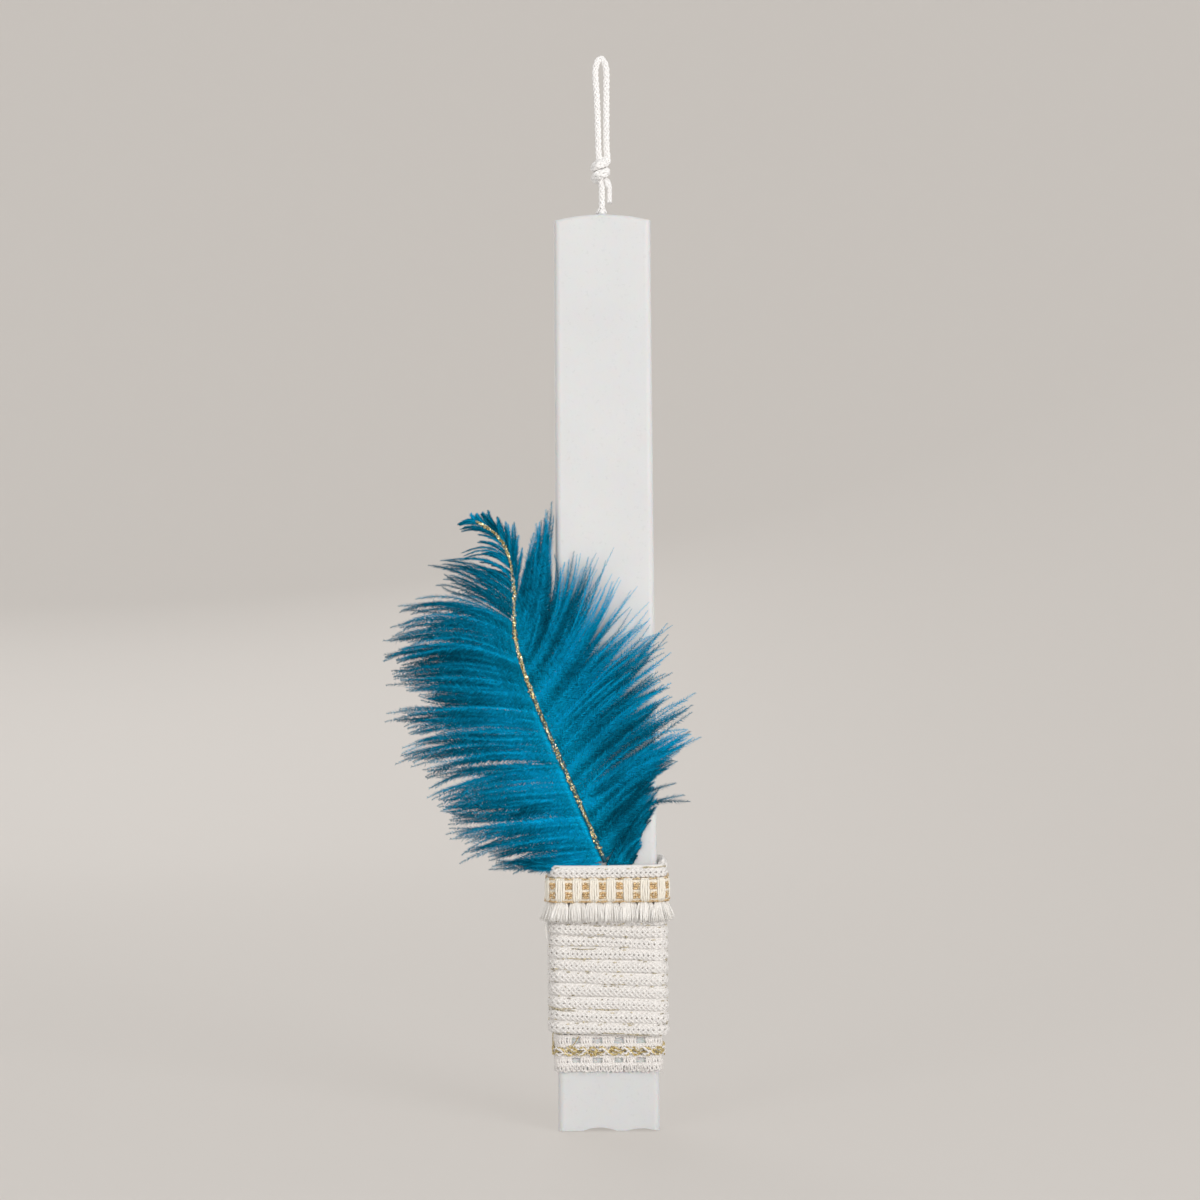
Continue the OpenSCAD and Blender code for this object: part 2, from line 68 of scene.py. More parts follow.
# Heights of the dressing
LACE_FOOT, LACE_H, LACE_T = 19, 11.8, 1.2
LAY_CLEAR = 0.15
YARN_D, PRESSED_D, YARN_PITCH, YARN_TURNS = 3.44, 2.3, 3.9, 14
YARN_END = LACE_FOOT + LACE_H + LAY_CLEAR + YARN_D / 2
YARN_START = YARN_END + YARN_PITCH * YARN_TURNS
FIRST_ROW = YARN_START - YARN_PITCH / 2
TAPE_H, TAPE_T = 8, 1.1
TAPE_TOP = FIRST_ROW - YARN_D / 2 - 1.3
TAPE_FOOT = TAPE_TOP - TAPE_H
TAPE_IN, QUILL_GAP = 2.44, 1
TAPE_OUT = TAPE_IN + TAPE_T
LACE_OUT = LAY_CLEAR + LACE_T / 2
FRINGE_L = 6.4
COLUMNS = 20
COLUMN_SHIFT = 1.2
TAPE_RISE = 0.9
# How the two bands lie: height of the middle, and how far off the sides and off the dressed face
TAPE_LAY = TAPE_FOOT + TAPE_H / 2, TAPE_OUT, TAPE_OUT + QUILL_GAP
LACE_LAY = LACE_FOOT + LACE_H / 2, LACE_OUT, LACE_OUT

# The feather's root
ROOT = np.array([-0.6, -HALF_T, FIRST_ROW + YARN_D / 2 + 1])


def half_width(height):
    return HALF_FOOT - HALF_DRAFT * height / CANDLE_H


def unit(vectors):
    return vectors / np.linalg.norm(vectors, axis=-1, keepdims=True)


def wobble(length, period, rng):
    """A smooth irregular wave along a length, between about -1 and 1."""
    total = np.zeros_like(length, dtype=float)
    for k in range(3):
        phase = rng.uniform(0, 6.3)
        total += np.sin(2 * np.pi * length / period * (1 + 0.6 * k) + phase) / (k + 1)
    return total / 1.8


def place(points):
    """Points above the foot, in millimetres, as the frame's metres."""
    return (np.asarray(points, float) + [0, 0, FOOT_Z]) * MM


def around(share, height, side, front=None):
    """Places on a layer that lies side off the wax, and front off its dressed face, at shares of
    the way from the middle of the back by the left side, the front and the right side. Returns
    the points and their outward directions."""
    front = side if front is None else front
    share, height, side, front = np.broadcast_arrays(
        *(np.asarray(v, float) for v in (share, height, side, front)))
    r = EDGE_R + side
    a = half_width(height) + side - r
    yf, yb = HALF_T + front - r, HALF_T + side - r
    corners = np.array([[0 * a, yb], [-a, yb], [-a, -yf], [a, -yf], [a, yb], [0 * a, yb]])
    arc = np.pi / 2 * r
    runs = np.array([a, arc, yf + yb, arc, 2 * a, arc, yf + yb, arc, a])
    ends = np.cumsum(runs, 0)
    s = (share % 1) * ends[-1]
    i = (s > ends[:-1]).sum(0)
    run = np.take_along_axis(runs, i[None], 0)[0]
    f = 1 - (np.take_along_axis(ends, i[None], 0)[0] - s) / run
    at = np.arange(len(s))
    start, end = corners[(i + 1) // 2, :, at], corners[i // 2 + 1, :, at]
    core = start + np.where(i % 2, 0, f)[:, None] * (end - start)
    angle = np.radians(np.where(i % 2, 45 * (i + 1) + 90 * f, 90 + 45 * i))
    outward = np.stack([np.cos(angle), np.sin(angle), 0 * angle], 1)
    return np.column_stack([core + r[:, None] * outward[:, :2], height]), outward


def girth(height, side, front=None):
    """Length once round such a layer."""
    front = side if front is None else front
    r = EDGE_R + side
    return (4 * (half_width(height) - EDGE_R) + 2 * (2 * HALF_T + side + front - 2 * r)
            + 2 * np.pi * r)


def smooth_line(points, step):
    """A smooth curve through points, with places about step apart."""
    p = np.asarray(points, float)
    p = np.vstack([2 * p[0] - p[1], p, 2 * p[-1] - p[-2]])
    line = []
    for a, b, c, d in zip(p, p[1:], p[2:], p[3:]):
        n = max(1, round(np.linalg.norm(c - b) / step))
        f = np.arange(n)[:, None] / n
        line.append(b + 0.5 * f * (c - a + f * (2 * a - 5 * b + 4 * c - d
                                                + f * (3 * (b - c) + d - a))))
    return np.vstack([*line, p[-2]])


def lengths(line):
    """Length along a line at each of its points."""
    return np.concatenate([[0], np.cumsum(np.linalg.norm(np.diff(line, axis=0), axis=1))])


def read(table, at, column=1):
    """Value in a table's column at places along its first column."""
    return np.interp(at, table[:, 0], table[:, column])


def linked(name, data):
    """A new object in the scene."""
    obj = bpy.data.objects.new(name, data)
    bpy.context.collection.objects.link(obj)
    return obj


def only(obj):
    """Makes obj the one selected and active object."""
    bpy.ops.object.select_all(action="DESELECT")
    obj.select_set(True)
    bpy.context.view_layer.objects.active = obj


@contextmanager
def editing():
    """Edit mode on the active object, with all of its mesh selected."""
    bpy.ops.object.mode_set(mode="EDIT")
    bpy.ops.mesh.select_all(action="SELECT")
    yield
    bpy.ops.object.mode_set(mode="OBJECT")


def threads(name, lines, radius, material, sides=6, closed=False, radii=None):
    """Round threads along lines of points above the foot, as one piece with closed ends."""
    curve = bpy.data.curves.new(name, "CURVE")
    curve.dimensions = "3D"
    curve.bevel_depth = radius * MM
    curve.bevel_resolution = sides // 2 - 2
    curve.use_fill_caps = True
    for k, line in enumerate(lines):
        spline = curve.splines.new("POLY")
        spline.points.add(len(line) - 1)
        spline.points.foreach_set("co", np.column_stack([place(line), np.ones(len(line))]).ravel())
        if radii is not None:
            spline.points.foreach_set("radius", np.asarray(radii[k], float))
        spline.use_cyclic_u = closed
    obj = linked(name, curve)
    only(obj)
    bpy.ops.object.convert(target="MESH")
    with editing():
        bpy.ops.mesh.remove_doubles(threshold=1e-7)
    bpy.ops.object.shade_smooth()
    obj.data.materials.append(material)
    return obj


def copies(name, points, faces, uv, material):
    """One piece from the points of many bent copies, with the shared face list of a copy."""
    count, per = len(points), points.shape[1]
    index = (faces[None] + per * np.arange(count)[:, None, None]).reshape(-1, 3)
    mesh = bpy.data.meshes.new(name)
    mesh.vertices.add(count * per)
    mesh.vertices.foreach_set("co", place(points).ravel())
    mesh.loops.add(index.size)
    mesh.loops.foreach_set("vertex_index", index.ravel())
    mesh.polygons.add(len(index))
    mesh.polygons.foreach_set("loop_start", np.arange(0, index.size, 3))
    corners = uv.reshape(-1, 2)[index.ravel()]
    mesh.uv_layers.new(name="OFBake").uv.foreach_set("vector", corners.ravel())
    mesh.update(calc_edges=True)
    mesh.materials.append(material)
    obj = linked(name, mesh)
    only(obj)
    bpy.ops.object.shade_smooth()
    return obj


def shape_of(obj):
    """Points in millimetres and triangles of a modelled master, which is then removed."""
    only(obj)
    with editing():
        bpy.ops.mesh.quads_convert_to_tris()
        bpy.ops.mesh.normals_make_consistent(inside=False)
    points = np.array([v.co for v in obj.data.vertices]) / MM
    faces = np.array([p.vertices for p in obj.data.polygons])
    bpy.ops.object.delete()
    return points, faces


def dress(obj, replaced=None, body="candle"):
    """Puts a piece in the body that it moves with, and hides the node that it replaces."""
    if replaced:
        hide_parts(replaced)
    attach(obj, body)


# Materials

def finish(name, base, **sockets):
    """A material whose even values are set on its shader's own sockets."""
    material = bpy.data.materials.new(name)
    material.use_nodes = True
    shader = material.node_tree.nodes["Principled BSDF"]
    shader.inputs["Base Color"].default_value = (*base, 1)
    for socket, value in sockets.items():
        shader.inputs[socket.replace("_", " ")].default_value = value
    return material


def node(material, kind, *placed, **named):
    """A shader node; an input that is given an output is linked to it, any other is set."""
    made = material.node_tree.nodes.new(kind)
    named = {name.replace("_", " "): value for name, value in named.items()}
    for key, value in (*enumerate(placed), *named.items()):
        if isinstance(value, bpy.types.NodeSocket):
            material.node_tree.links.new(value, made.inputs[key])
        else:
            made.inputs[key].default_value = value
    return made


def to_shader(material, output, socket):
    shader = material.node_tree.nodes["Principled BSDF"]
    material.node_tree.links.new(output, shader.inputs[socket])


def coordinates(material, output="Object", scale=(1, 1, 1)):
    found = node(material, "ShaderNodeTexCoord").outputs[output]
    return node(material, "ShaderNodeMapping", Vector=found, Scale=scale).outputs["Vector"]


def noise(material, scale, detail=3, rough=0.5, stretch=(1, 1, 1)):
    return node(material, "ShaderNodeTexNoise", Vector=coordinates(material, scale=stretch),
                Scale=scale, Detail=detail, Roughness=rough).outputs["Fac"]


def ramp(material, value, *stops):
    """Colours by value; each stop is (position, colour)."""
    made = node(material, "ShaderNodeValToRGB", Fac=value)
    while len(made.color_ramp.elements) < len(stops):
        made.color_ramp.elements.new(0.5)
    for element, (position, colour) in zip(made.color_ramp.elements, stops):
        element.position = position
        element.color = (*colour, 1) if len(np.shape(colour)) else (colour, colour, colour, 1)
    return made.outputs["Color"]


def bump(material, height, strength, distance):
    made = node(material, "ShaderNodeBump", Height=height, Strength=strength, Distance=distance)
    to_shader(material, made.outputs["Normal"], "Normal")


def even_background(material, colour, share):
    """Shows a share of one even tone to the camera and in reflections, so that the ground has no
    strong shading."""
    tree = material.node_tree
    shader, output = tree.nodes["Principled BSDF"], tree.nodes["Material Output"]
    rays = node(material, "ShaderNodeLightPath").outputs
    seen = rays["Is Camera Ray"]
    for ray in ("Is Glossy Ray", "Is Transmission Ray"):
        either = node(material, "ShaderNodeMath", seen, rays[ray])
        either.operation = "MAXIMUM"
        seen = either.outputs[0]
    part = node(material, "ShaderNodeMath", seen, share)
    part.operation = "MULTIPLY"
    glow = node(material, "ShaderNodeEmission", Color=(*colour, 1), Strength=1)
    both = node(material, "ShaderNodeMixShader", part.outputs[0], shader.outputs[0],
                glow.outputs[0])
    tree.links.new(both.outputs[0], output.inputs["Surface"])


def tone(material, low, high):
    """A shade of its own for each separate thread or flake."""
    found = node(material, "ShaderNodeNewGeometry").outputs["Random Per Island"]
    return ramp(material, found, (0, low), (1, high))


def multiplied(material, a, b):
    """One colour times another."""
    made = material.node_tree.nodes.new("ShaderNodeMix")
    made.data_type, made.blend_type = "RGBA", "MULTIPLY"
    made.inputs[0].default_value = 1
    material.node_tree.links.new(a, made.inputs[6])
    material.node_tree.links.new(b, made.inputs[7])
    return made.outputs[2]


def poured_wax():
    wax = finish("poured_wax", (0.7, 0.7, 0.7), Subsurface_Weight=0.2, Subsurface_Scale=0.003,
                 Specular_IOR_Level=0.35)
    cloud = ramp(wax, noise(wax, 28, 4), (0.3, (0.69, 0.69, 0.69)), (0.7, (0.72, 0.72, 0.715)))
    specks = ramp(wax, noise(wax, 900, 2), (0.26, 0.95), (0.38, 1.0))
    to_shader(wax, multiplied(wax, cloud, specks), "Base Color")
    sheen = noise(wax, 160, 4, stretch=(1, 1, 0.3))
    to_shader(wax, ramp(wax, sheen, (0.3, 0.46), (0.7, 0.62)), "Roughness")
    bump(wax, noise(wax, 90, 5, 0.6, stretch=(1, 1, 0.5)), 0.25, 0.0006)
    return wax


def spun_cotton(name, low, high):
    """Soft cotton with a fine fibre grain and a shade of its own for each strand."""
    fibre = 2600
    cotton = finish(name, high, Roughness=0.85, Specular_IOR_Level=0.15, Sheen_Weight=0.15)
    grain = ramp(cotton, noise(cotton, fibre, 3), (0.3, low), (0.65, high))
    to_shader(cotton, multiplied(cotton, grain, tone(cotton, 0.95, 1.0)), "Base Color")
    bump(cotton, noise(cotton, fibre, 4), 0.4, 0.0002)
    return cotton


def metal_thread(name, dark, bright):
    """Flat foil thread: painted glints, short bright and dark patches along it, stand for facets
    that catch the light, and no two stitches are alike.
    """
    foil = finish(name, bright, Metallic=0.3, Specular_IOR_Level=0.9)
    painted_glints = ramp(foil, noise(foil, 2200, 1), (0.32, dark), (0.55, bright))
    to_shader(foil, multiplied(foil, painted_glints, tone(foil, 0.6, 1.0)), "Base Color")
    to_shader(foil, ramp(foil, noise(foil, 1500, 1), (0.4, 0.2), (0.6, 0.5)), "Roughness")
    bump(foil, noise(foil, 3200, 1), 0.5, 0.0003)
    return foil


def dyed_barbs_with_painted_shade():
    """Teal dye, lightest by the shaft: along the barb on u; on v the barb's own tone with painted
    light and shade.
    """
    teal = finish("dyed_barbs_with_painted_shade", (0.003, 0.24, 0.4), Roughness=0.55, Specular_IOR_Level=0.03)
    split = node(teal, "ShaderNodeSeparateXYZ", Vector=coordinates(teal, "UV"))
    along = ramp(teal, split.outputs["X"], (0, (0.002, 0.6, 0.96)), (0.4, (0.002, 0.52, 0.88)),
                 (1, (0.002, 0.52, 0.86)))
    tone_and_painted_shade = ramp(teal, split.outputs["Y"], (0, 0.2), (1, 1.0))
    to_shader(teal, multiplied(teal, along, tone_and_painted_shade), "Base Color")
    bump(teal, noise(teal, 4000, 2), 0.2, 0.0001)
    return teal


def glitter_flakes():
    """Gold foil flakes in tones from brown to nearly white: partly their own tones, partly painted
    glints and painted dark reflections.
    """
    flakes = finish("gold_glitter", (0.8, 0.66, 0.34), Metallic=0.55)
    found = node(flakes, "ShaderNodeNewGeometry").outputs["Random Per Island"]
    to_shader(flakes, ramp(flakes, found, (0, (0.15, 0.11, 0.025)), (0.3, (0.48, 0.37, 0.12)),
                           (0.6, (0.86, 0.74, 0.38)), (1, (1.0, 0.98, 0.82))), "Base Color")
    to_shader(flakes, ramp(flakes, found, (0, 0.15), (1, 0.35)), "Roughness")
    return flakes


def horn(name, low, high):
    """Quill and dried glue: a smooth horny finish with long streaks."""
    quill = finish(name, high, Roughness=0.4, Specular_IOR_Level=0.4)
    lengthwise = (1, 1, 0.1)
    streaks = noise(quill, 300, 3, stretch=lengthwise)
    to_shader(quill, ramp(quill, streaks, (0.3, low), (0.7, high)), "Base Color")
    bump(quill, noise(quill, 700, 2, stretch=lengthwise), 0.2, 0.0002)
    return quill


WAX = poured_wax()
WICK = spun_cotton("wick_cotton", (0.93, 0.9, 0.88), (0.98, 0.96, 0.94))
YARN = spun_cotton("cream_yarn", (0.85, 0.81, 0.775), (0.915, 0.88, 0.845))
BRAID = spun_cotton("braid_cotton", (0.92, 0.84, 0.72), (0.97, 0.92, 0.82))
FRINGE = spun_cotton("fringe_cotton", (0.95, 0.9, 0.84), (0.98, 0.955, 0.915))
LACE = spun_cotton("lace_cotton", (0.89, 0.84, 0.8), (0.94, 0.905, 0.875))
# The dark ends of the gold and foil threads' colours are painted dark reflections between their
# painted glints
GOLD = metal_thread("gold_thread", (0.58, 0.3, 0.1), (1.0, 0.74, 0.4))
PALE_GOLD = metal_thread("pale_gold", (0.78, 0.52, 0.27), (1.0, 0.87, 0.64))
LACE_GOLD = metal_thread("lace_gold", (0.5, 0.3, 0.07), (1.0, 0.84, 0.42))
FOIL = metal_thread("foil_thread", (0.1, 0.08, 0.05), (0.95, 0.82, 0.52))
TEAL = dyed_barbs_with_painted_shade()
GLITTER = glitter_flakes()
QUILL = horn("dyed_quill", (0.01, 0.08, 0.12), (0.02, 0.14, 0.2))
GLUE = horn("dried_glue", (0.62, 0.58, 0.48), (0.75, 0.72, 0.62))


# Camera, light and ground

def photo_camera():
    """Square on to the dressed face, turned by the tilt that the candle has in the photograph."""
    distance, frame_w, tilt = 900, 392.6, 0.4526
    middle_x, middle_z = -1.65, 173.7
    data = bpy.data.cameras.new("photo_camera")
    data.sensor_width = 36
    data.lens = data.sensor_width * distance / frame_w
    camera = linked("photo_camera", data)
    camera.location = place([middle_x, -HALF_T - distance, middle_z])
    camera.rotation_euler = (math.radians(90), math.radians(tilt), 0)
    data.clip_start, data.clip_end = 0.05, 50
    bpy.context.scene.camera = camera


def soft_light(name, location, size, power):
    """A square lamp that looks at the middle of the candle."""
    data = bpy.data.lights.new(name, "AREA")
    data.shape, data.size, data.energy = "SQUARE", size, power
    lamp = linked(name, data)
    lamp.location = location
    aim = Vector((0, 0, -0.18)) - lamp.location
    lamp.rotation_euler = aim.to_track_quat("-Z", "Y").to_euler()


def studio():
    """Soft light from the right, and a pale round ground that curves up on all sides."""
    scene = bpy.context.scene
    scene.view_settings.view_transform = "Standard"
    world = bpy.data.worlds.new("studio")
    scene.world = world
    world.use_nodes = True
    back = world.node_tree.nodes["Background"]
    back.inputs["Color"].default_value = (0.93, 0.97, 1, 1)
    back.inputs["Strength"].default_value = 0.6
    soft_light("window", (0.8, -1.0, 0.2), 0.6, 9.4)
    soft_light("fill", (-0.85, -1.1, 0.2), 0.5, 4.4)
    soft_light("back_fill", (-0.4, 1.2, 0.4), 1.0, 6.5)

    ground_r, wall_h, sweep_r, under_foot = 1.9, 2.4, 0.9, 0.0003
    bpy.ops.mesh.primitive_circle_add(vertices=96, radius=ground_r, fill_type="NGON",
                                      location=(0, 0, FOOT_Z * MM - under_foot))
    ground = bpy.context.object
    ground.name = "ground"
    with editing():
        bpy.ops.mesh.extrude_region_move(TRANSFORM_OT_translate={"value": (0, 0, wall_h)})
        bpy.ops.mesh.delete(type="ONLY_FACE")
    sweep = ground.modifiers.new("sweep", "BEVEL")
    sweep.width, sweep.segments, sweep.limit_method = sweep_r, 16, "ANGLE"
    bpy.ops.object.modifier_apply(modifier="sweep")
    bpy.ops.object.transform_apply(location=True)
    with editing():
        bpy.ops.mesh.normals_make_consistent(inside=True)
    bpy.ops.object.shade_smooth()
    paper = finish("pale_paper", (0.7, 0.68, 0.66), Roughness=0.9, Specular_IOR_Level=0.1)
    bump(paper, noise(paper, 400, 2), 0.05, 0.0002)
    even_background(paper, (0.63, 0.585, 0.54), 0.72)
    ground.data.materials.append(paper)


# Wick

WICK_D, WICK_W = 1.9, 2.1
WICK_STEM = [[0, 0, -48], [0, 0, -45], [0, 0, -42], [-0.1, 0, -39], [-0.3, 0, -36],
             [-0.7, 0, -33], [-1, 0, -29], [-1.1, 0, -24], [-1.2, 0, -18], [-1.4, 0, -12],
             [-1.7, 0, -7]]
WICK_BACK = [[1.8, 0, -7], [1.75, 0, -12], [1.7, 0, -18], [1.65, 0, -24], [1.7, 0, -29],
             [1.9, 0.2, -31.5]]
KNOT_TOP, KNOT_FOOT = -33.2, -39.8
WICK_TAIL = [[2.5, 0.2, -41.5], [2.5, 0.1, -44], [2.5, 0, -46.5]]


def wick_line():
    """The wick's route in frame millimetres, as in the part's source, with its knot drawn tight."""
    arch_w, arch_foot, knot_r, turns = 1.85, -4, 1.8, 2
    arch = [[arch_w * math.cos(a), 0, arch_foot + (WICK_D / 2 - arch_foot) * math.sin(a)]
            for a in np.radians(np.linspace(180, 0, 9))]
    stem_z, stem_x = [p[2] for p in WICK_STEM], [p[0] for p in WICK_STEM]
    knot = []
    for f in np.arange(29) / 28:
        z = KNOT_TOP + (KNOT_FOOT - KNOT_TOP) * f
        turn = 2 * math.pi * turns * f
        knot.append([np.interp(z, stem_z, stem_x) + knot_r * math.cos(turn),
                     -knot_r * math.sin(turn), z])
    return smooth_line([[0, 0, -50.4], *WICK_STEM, *arch, *WICK_BACK, *knot, *WICK_TAIL], 0.5)


def carried_sides(line, first):
    """Two directions square to a line that turn with it and don't twist."""
    t = unit(np.gradient(line, axis=0))
    u, sides = np.array(first, float), []
    for heading in t:
        u = unit(u - (u @ heading) * heading)
        sides.append(u)
    sides = np.array(sides)
    return sides, np.cross(t, sides)


def wick():
    """Braided wick: eight threads round a flat core, four each way, over and under."""
    line = wick_line()
    deep, wide = carried_sides(line, (0, 1, 0))
    run = lengths(line)
    rng = np.random.default_rng(3)
    per_way, thread_r, lay, lift, core_share = 4, 0.36, 7.5, 0.1, 0.9
    back_run = run > run[np.argmax(line[:, 2])]
    in_knot = back_run * np.interp(line[:, 2], [KNOT_FOOT - 2, KNOT_FOOT, KNOT_TOP, KNOT_TOP + 2],
                                   [0, 1, 1, 0])
    full = 1 + in_knot * (0.66 + 0.22 * wobble(run, 5.3, rng))
    half_w = (WICK_W / 2 - thread_r) * full
    half_d = np.interp(run, [0, 6, 14], [0.72, 0.62, 0.45]) * full
    lines = []
    for way in (-1, 1):
        for k in range(per_way):
            turn = way * 2 * np.pi * run / lay + 2 * np.pi * k / per_way
            over = 1 + way * lift * np.cos(8 * np.pi * run / lay) / half_w
            lines.append(line + (over * half_w * np.cos(turn))[:, None] * wide
                         + (over * half_d * np.sin(turn))[:, None] * deep)
    raised = [p - [0, 0, FOOT_Z] for p in (*lines, line)]
    obj = threads("wick", raised, thread_r, WICK,
                  radii=[full] * len(lines) + [half_d / thread_r * core_share])
    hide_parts("wick_loop")
    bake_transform(obj)

    # Frayed threads that stand out on both sides where the wick leaves the wax
    frayed, fray_r = [], 0.22
    down = np.linspace(0, 1, 5)
    wax_top = wax_high[2] - FOOT_Z + 0.1
    for side, count, reach in ((-1, 11, 1.7), (1, 8, 0.75)):
        for _ in range(count):
            rise, far = rng.uniform(0.8, 2.0), rng.uniform(0.35, 1) * reach
            depth = rng.uniform(-0.5, 0.5)
            frayed.append(np.column_stack([side * (0.8 + far * down**0.75), depth + 0 * down,
                                           wax_top + rise * (1 - down) ** 1.2]))
    dress(threads("wick_fray", frayed, fray_r, WICK, sides=4))


# Yarn

YARN_LEAD = 0.31
YARN_CLEAR = 0.3
HEX_FLAT = math.cos(math.pi / 6)
TURN_L, YARN_STEP = 105, 0.62
QUILL_L, QUILL_LEAN = 20.1, 23
# Turn, and how far the yarn lies above an even winding there
YARN_SETTLE = np.array([[-0.31, -2], [-0.2, -1.2], [0, 0], [0.22, -0.9], [0.3, -1.3], [0.5, -0.7],
                        [0.69, 0], [0.85, 0.1], [1, 0], [8, 0], [13.3, -1.1], [13.75, -0.7],
                        [14, 0]])


def yarn_radius(height):
    """The yarn is thinner where the tape presses it."""
    above = (TAPE_TOP + YARN_D / 2 + 0.15 - height) / ((YARN_D - PRESSED_D) / 2 + 0.3)
    below = (height - TAPE_FOOT + YARN_D + 1.1) / (YARN_D - PRESSED_D / 2 + 0.75)
    press = np.clip(np.minimum(above, below), 0, 1)
    return (YARN_D + (PRESSED_D - YARN_D) * press) / 2


def yarn_course():
    """Middle of the yarn with its outward direction, its run and its share of full thickness."""
    rng = np.random.default_rng(11)
    turns = np.arange(-YARN_LEAD, YARN_TURNS, YARN_STEP / TURN_L)
    height = YARN_START - YARN_PITCH * turns
    radius = yarn_radius(height)
    out = YARN_CLEAR + radius * HEX_FLAT
    quill_foot = ROOT[2] - QUILL_L * math.cos(math.radians(QUILL_LEAN))
    over = np.clip((height + YARN_D / 2 - quill_foot) / YARN_PITCH + 1, 0, 1)
    run = turns * TURN_L
    free = radius * 2 / YARN_D
    settle = read(YARN_SETTLE, turns)
    sway = 0.22 * wobble(run, 61, rng) * (free > 0.99) * (turns < YARN_TURNS - 0.9)
    centre, outward = around(turns, height, out, out + QUILL_GAP * over)
    centre[:, 2] += sway + settle
    return centre, outward, run, free


def yarn():
    """Soft round braid, six strands each way, on two cores, with glints of foil."""
    centre, outward, run, free = yarn_course()
    up = np.array([0, 0, 1])
    strands, lay, strand_r, half_h, half_d = 6, 10.5, 0.42, 1.66, 1.22
    rng = np.random.default_rng(12)
    drift = 0.8 * wobble(run, 90, rng)

    def at(rise, lift, picked=slice(None)):
        return (centre[picked] + (free[picked] * rise)[:, None] * up
                + (free[picked] * lift)[:, None] * outward[picked])

    ways = []
    for way in (-1, 1):
        lines = []
        for k in range(strands):
            turn = way * (2 * np.pi * run / lay + drift) + 2 * np.pi * k / strands
            weave = way * 0.14 * np.cos(12 * np.pi * run / lay + 6 * drift)
            over = 1 + weave + 0.04 * wobble(run, 2.1, rng)
            lines.append(at(half_h * over * np.sin(turn), half_d * over * np.cos(turn)))
        ways.append(lines)
    cores = [at(0.7 * k + 0 * run, 0.15 + 0 * run) for k in (-1, 1)]
    between = [at(YARN_PITCH / 2 + 0 * run, 0.25 + 0 * run)]
    for name, lines, radius, radii in (
            ("yarn_strands_1", ways[0], strand_r, [free] * strands),
            ("yarn_strands_2", ways[1], strand_r, [free] * strands),
            ("yarn_core", cores + between, 1.2, [free, free, 0.55 * free])):
        dress(threads(name, lines, radius, YARN, sides=5, radii=radii), "yarn_wrap")

    # Short lengths of foil that show between the strands
    glints, glint_count, glint_r, short_share = [], 480, 0.13, 0.95
    for _ in range(glint_count):
        i = rng.integers(0, len(run) - 24)
        n = rng.integers(2, 4) if rng.uniform() < short_share else 14
        rise = rng.choice([-1, 1]) * rng.uniform(1.25, 1.9) + 0.1 * np.sin(0.7 * np.arange(n))
        lift = 1.25 * np.sqrt(np.clip(1 - (rise / 2.2) ** 2, 0.1, 1)) + 0.3
        glints.append(at(rise, lift, slice(i, i + n)))
    dress(threads("yarn_glints", glints, glint_r, FOIL, sides=4))


# Braid

def on_band(lay, along, height, out):
    """A place on a band that lies so: along it from the middle of the front, height and lift."""
    along, height, out = np.broadcast_arrays(*(np.asarray(v, float) for v in (along, height, out)))
    points, outward = around(0.5 + along / girth(*lay), *lay)
    points = points + out[:, None] * outward
    points[:, 2] = height
    return points


def on_tape(along, height, out):
    return on_band(TAPE_LAY, along, height + TAPE_RISE, out)


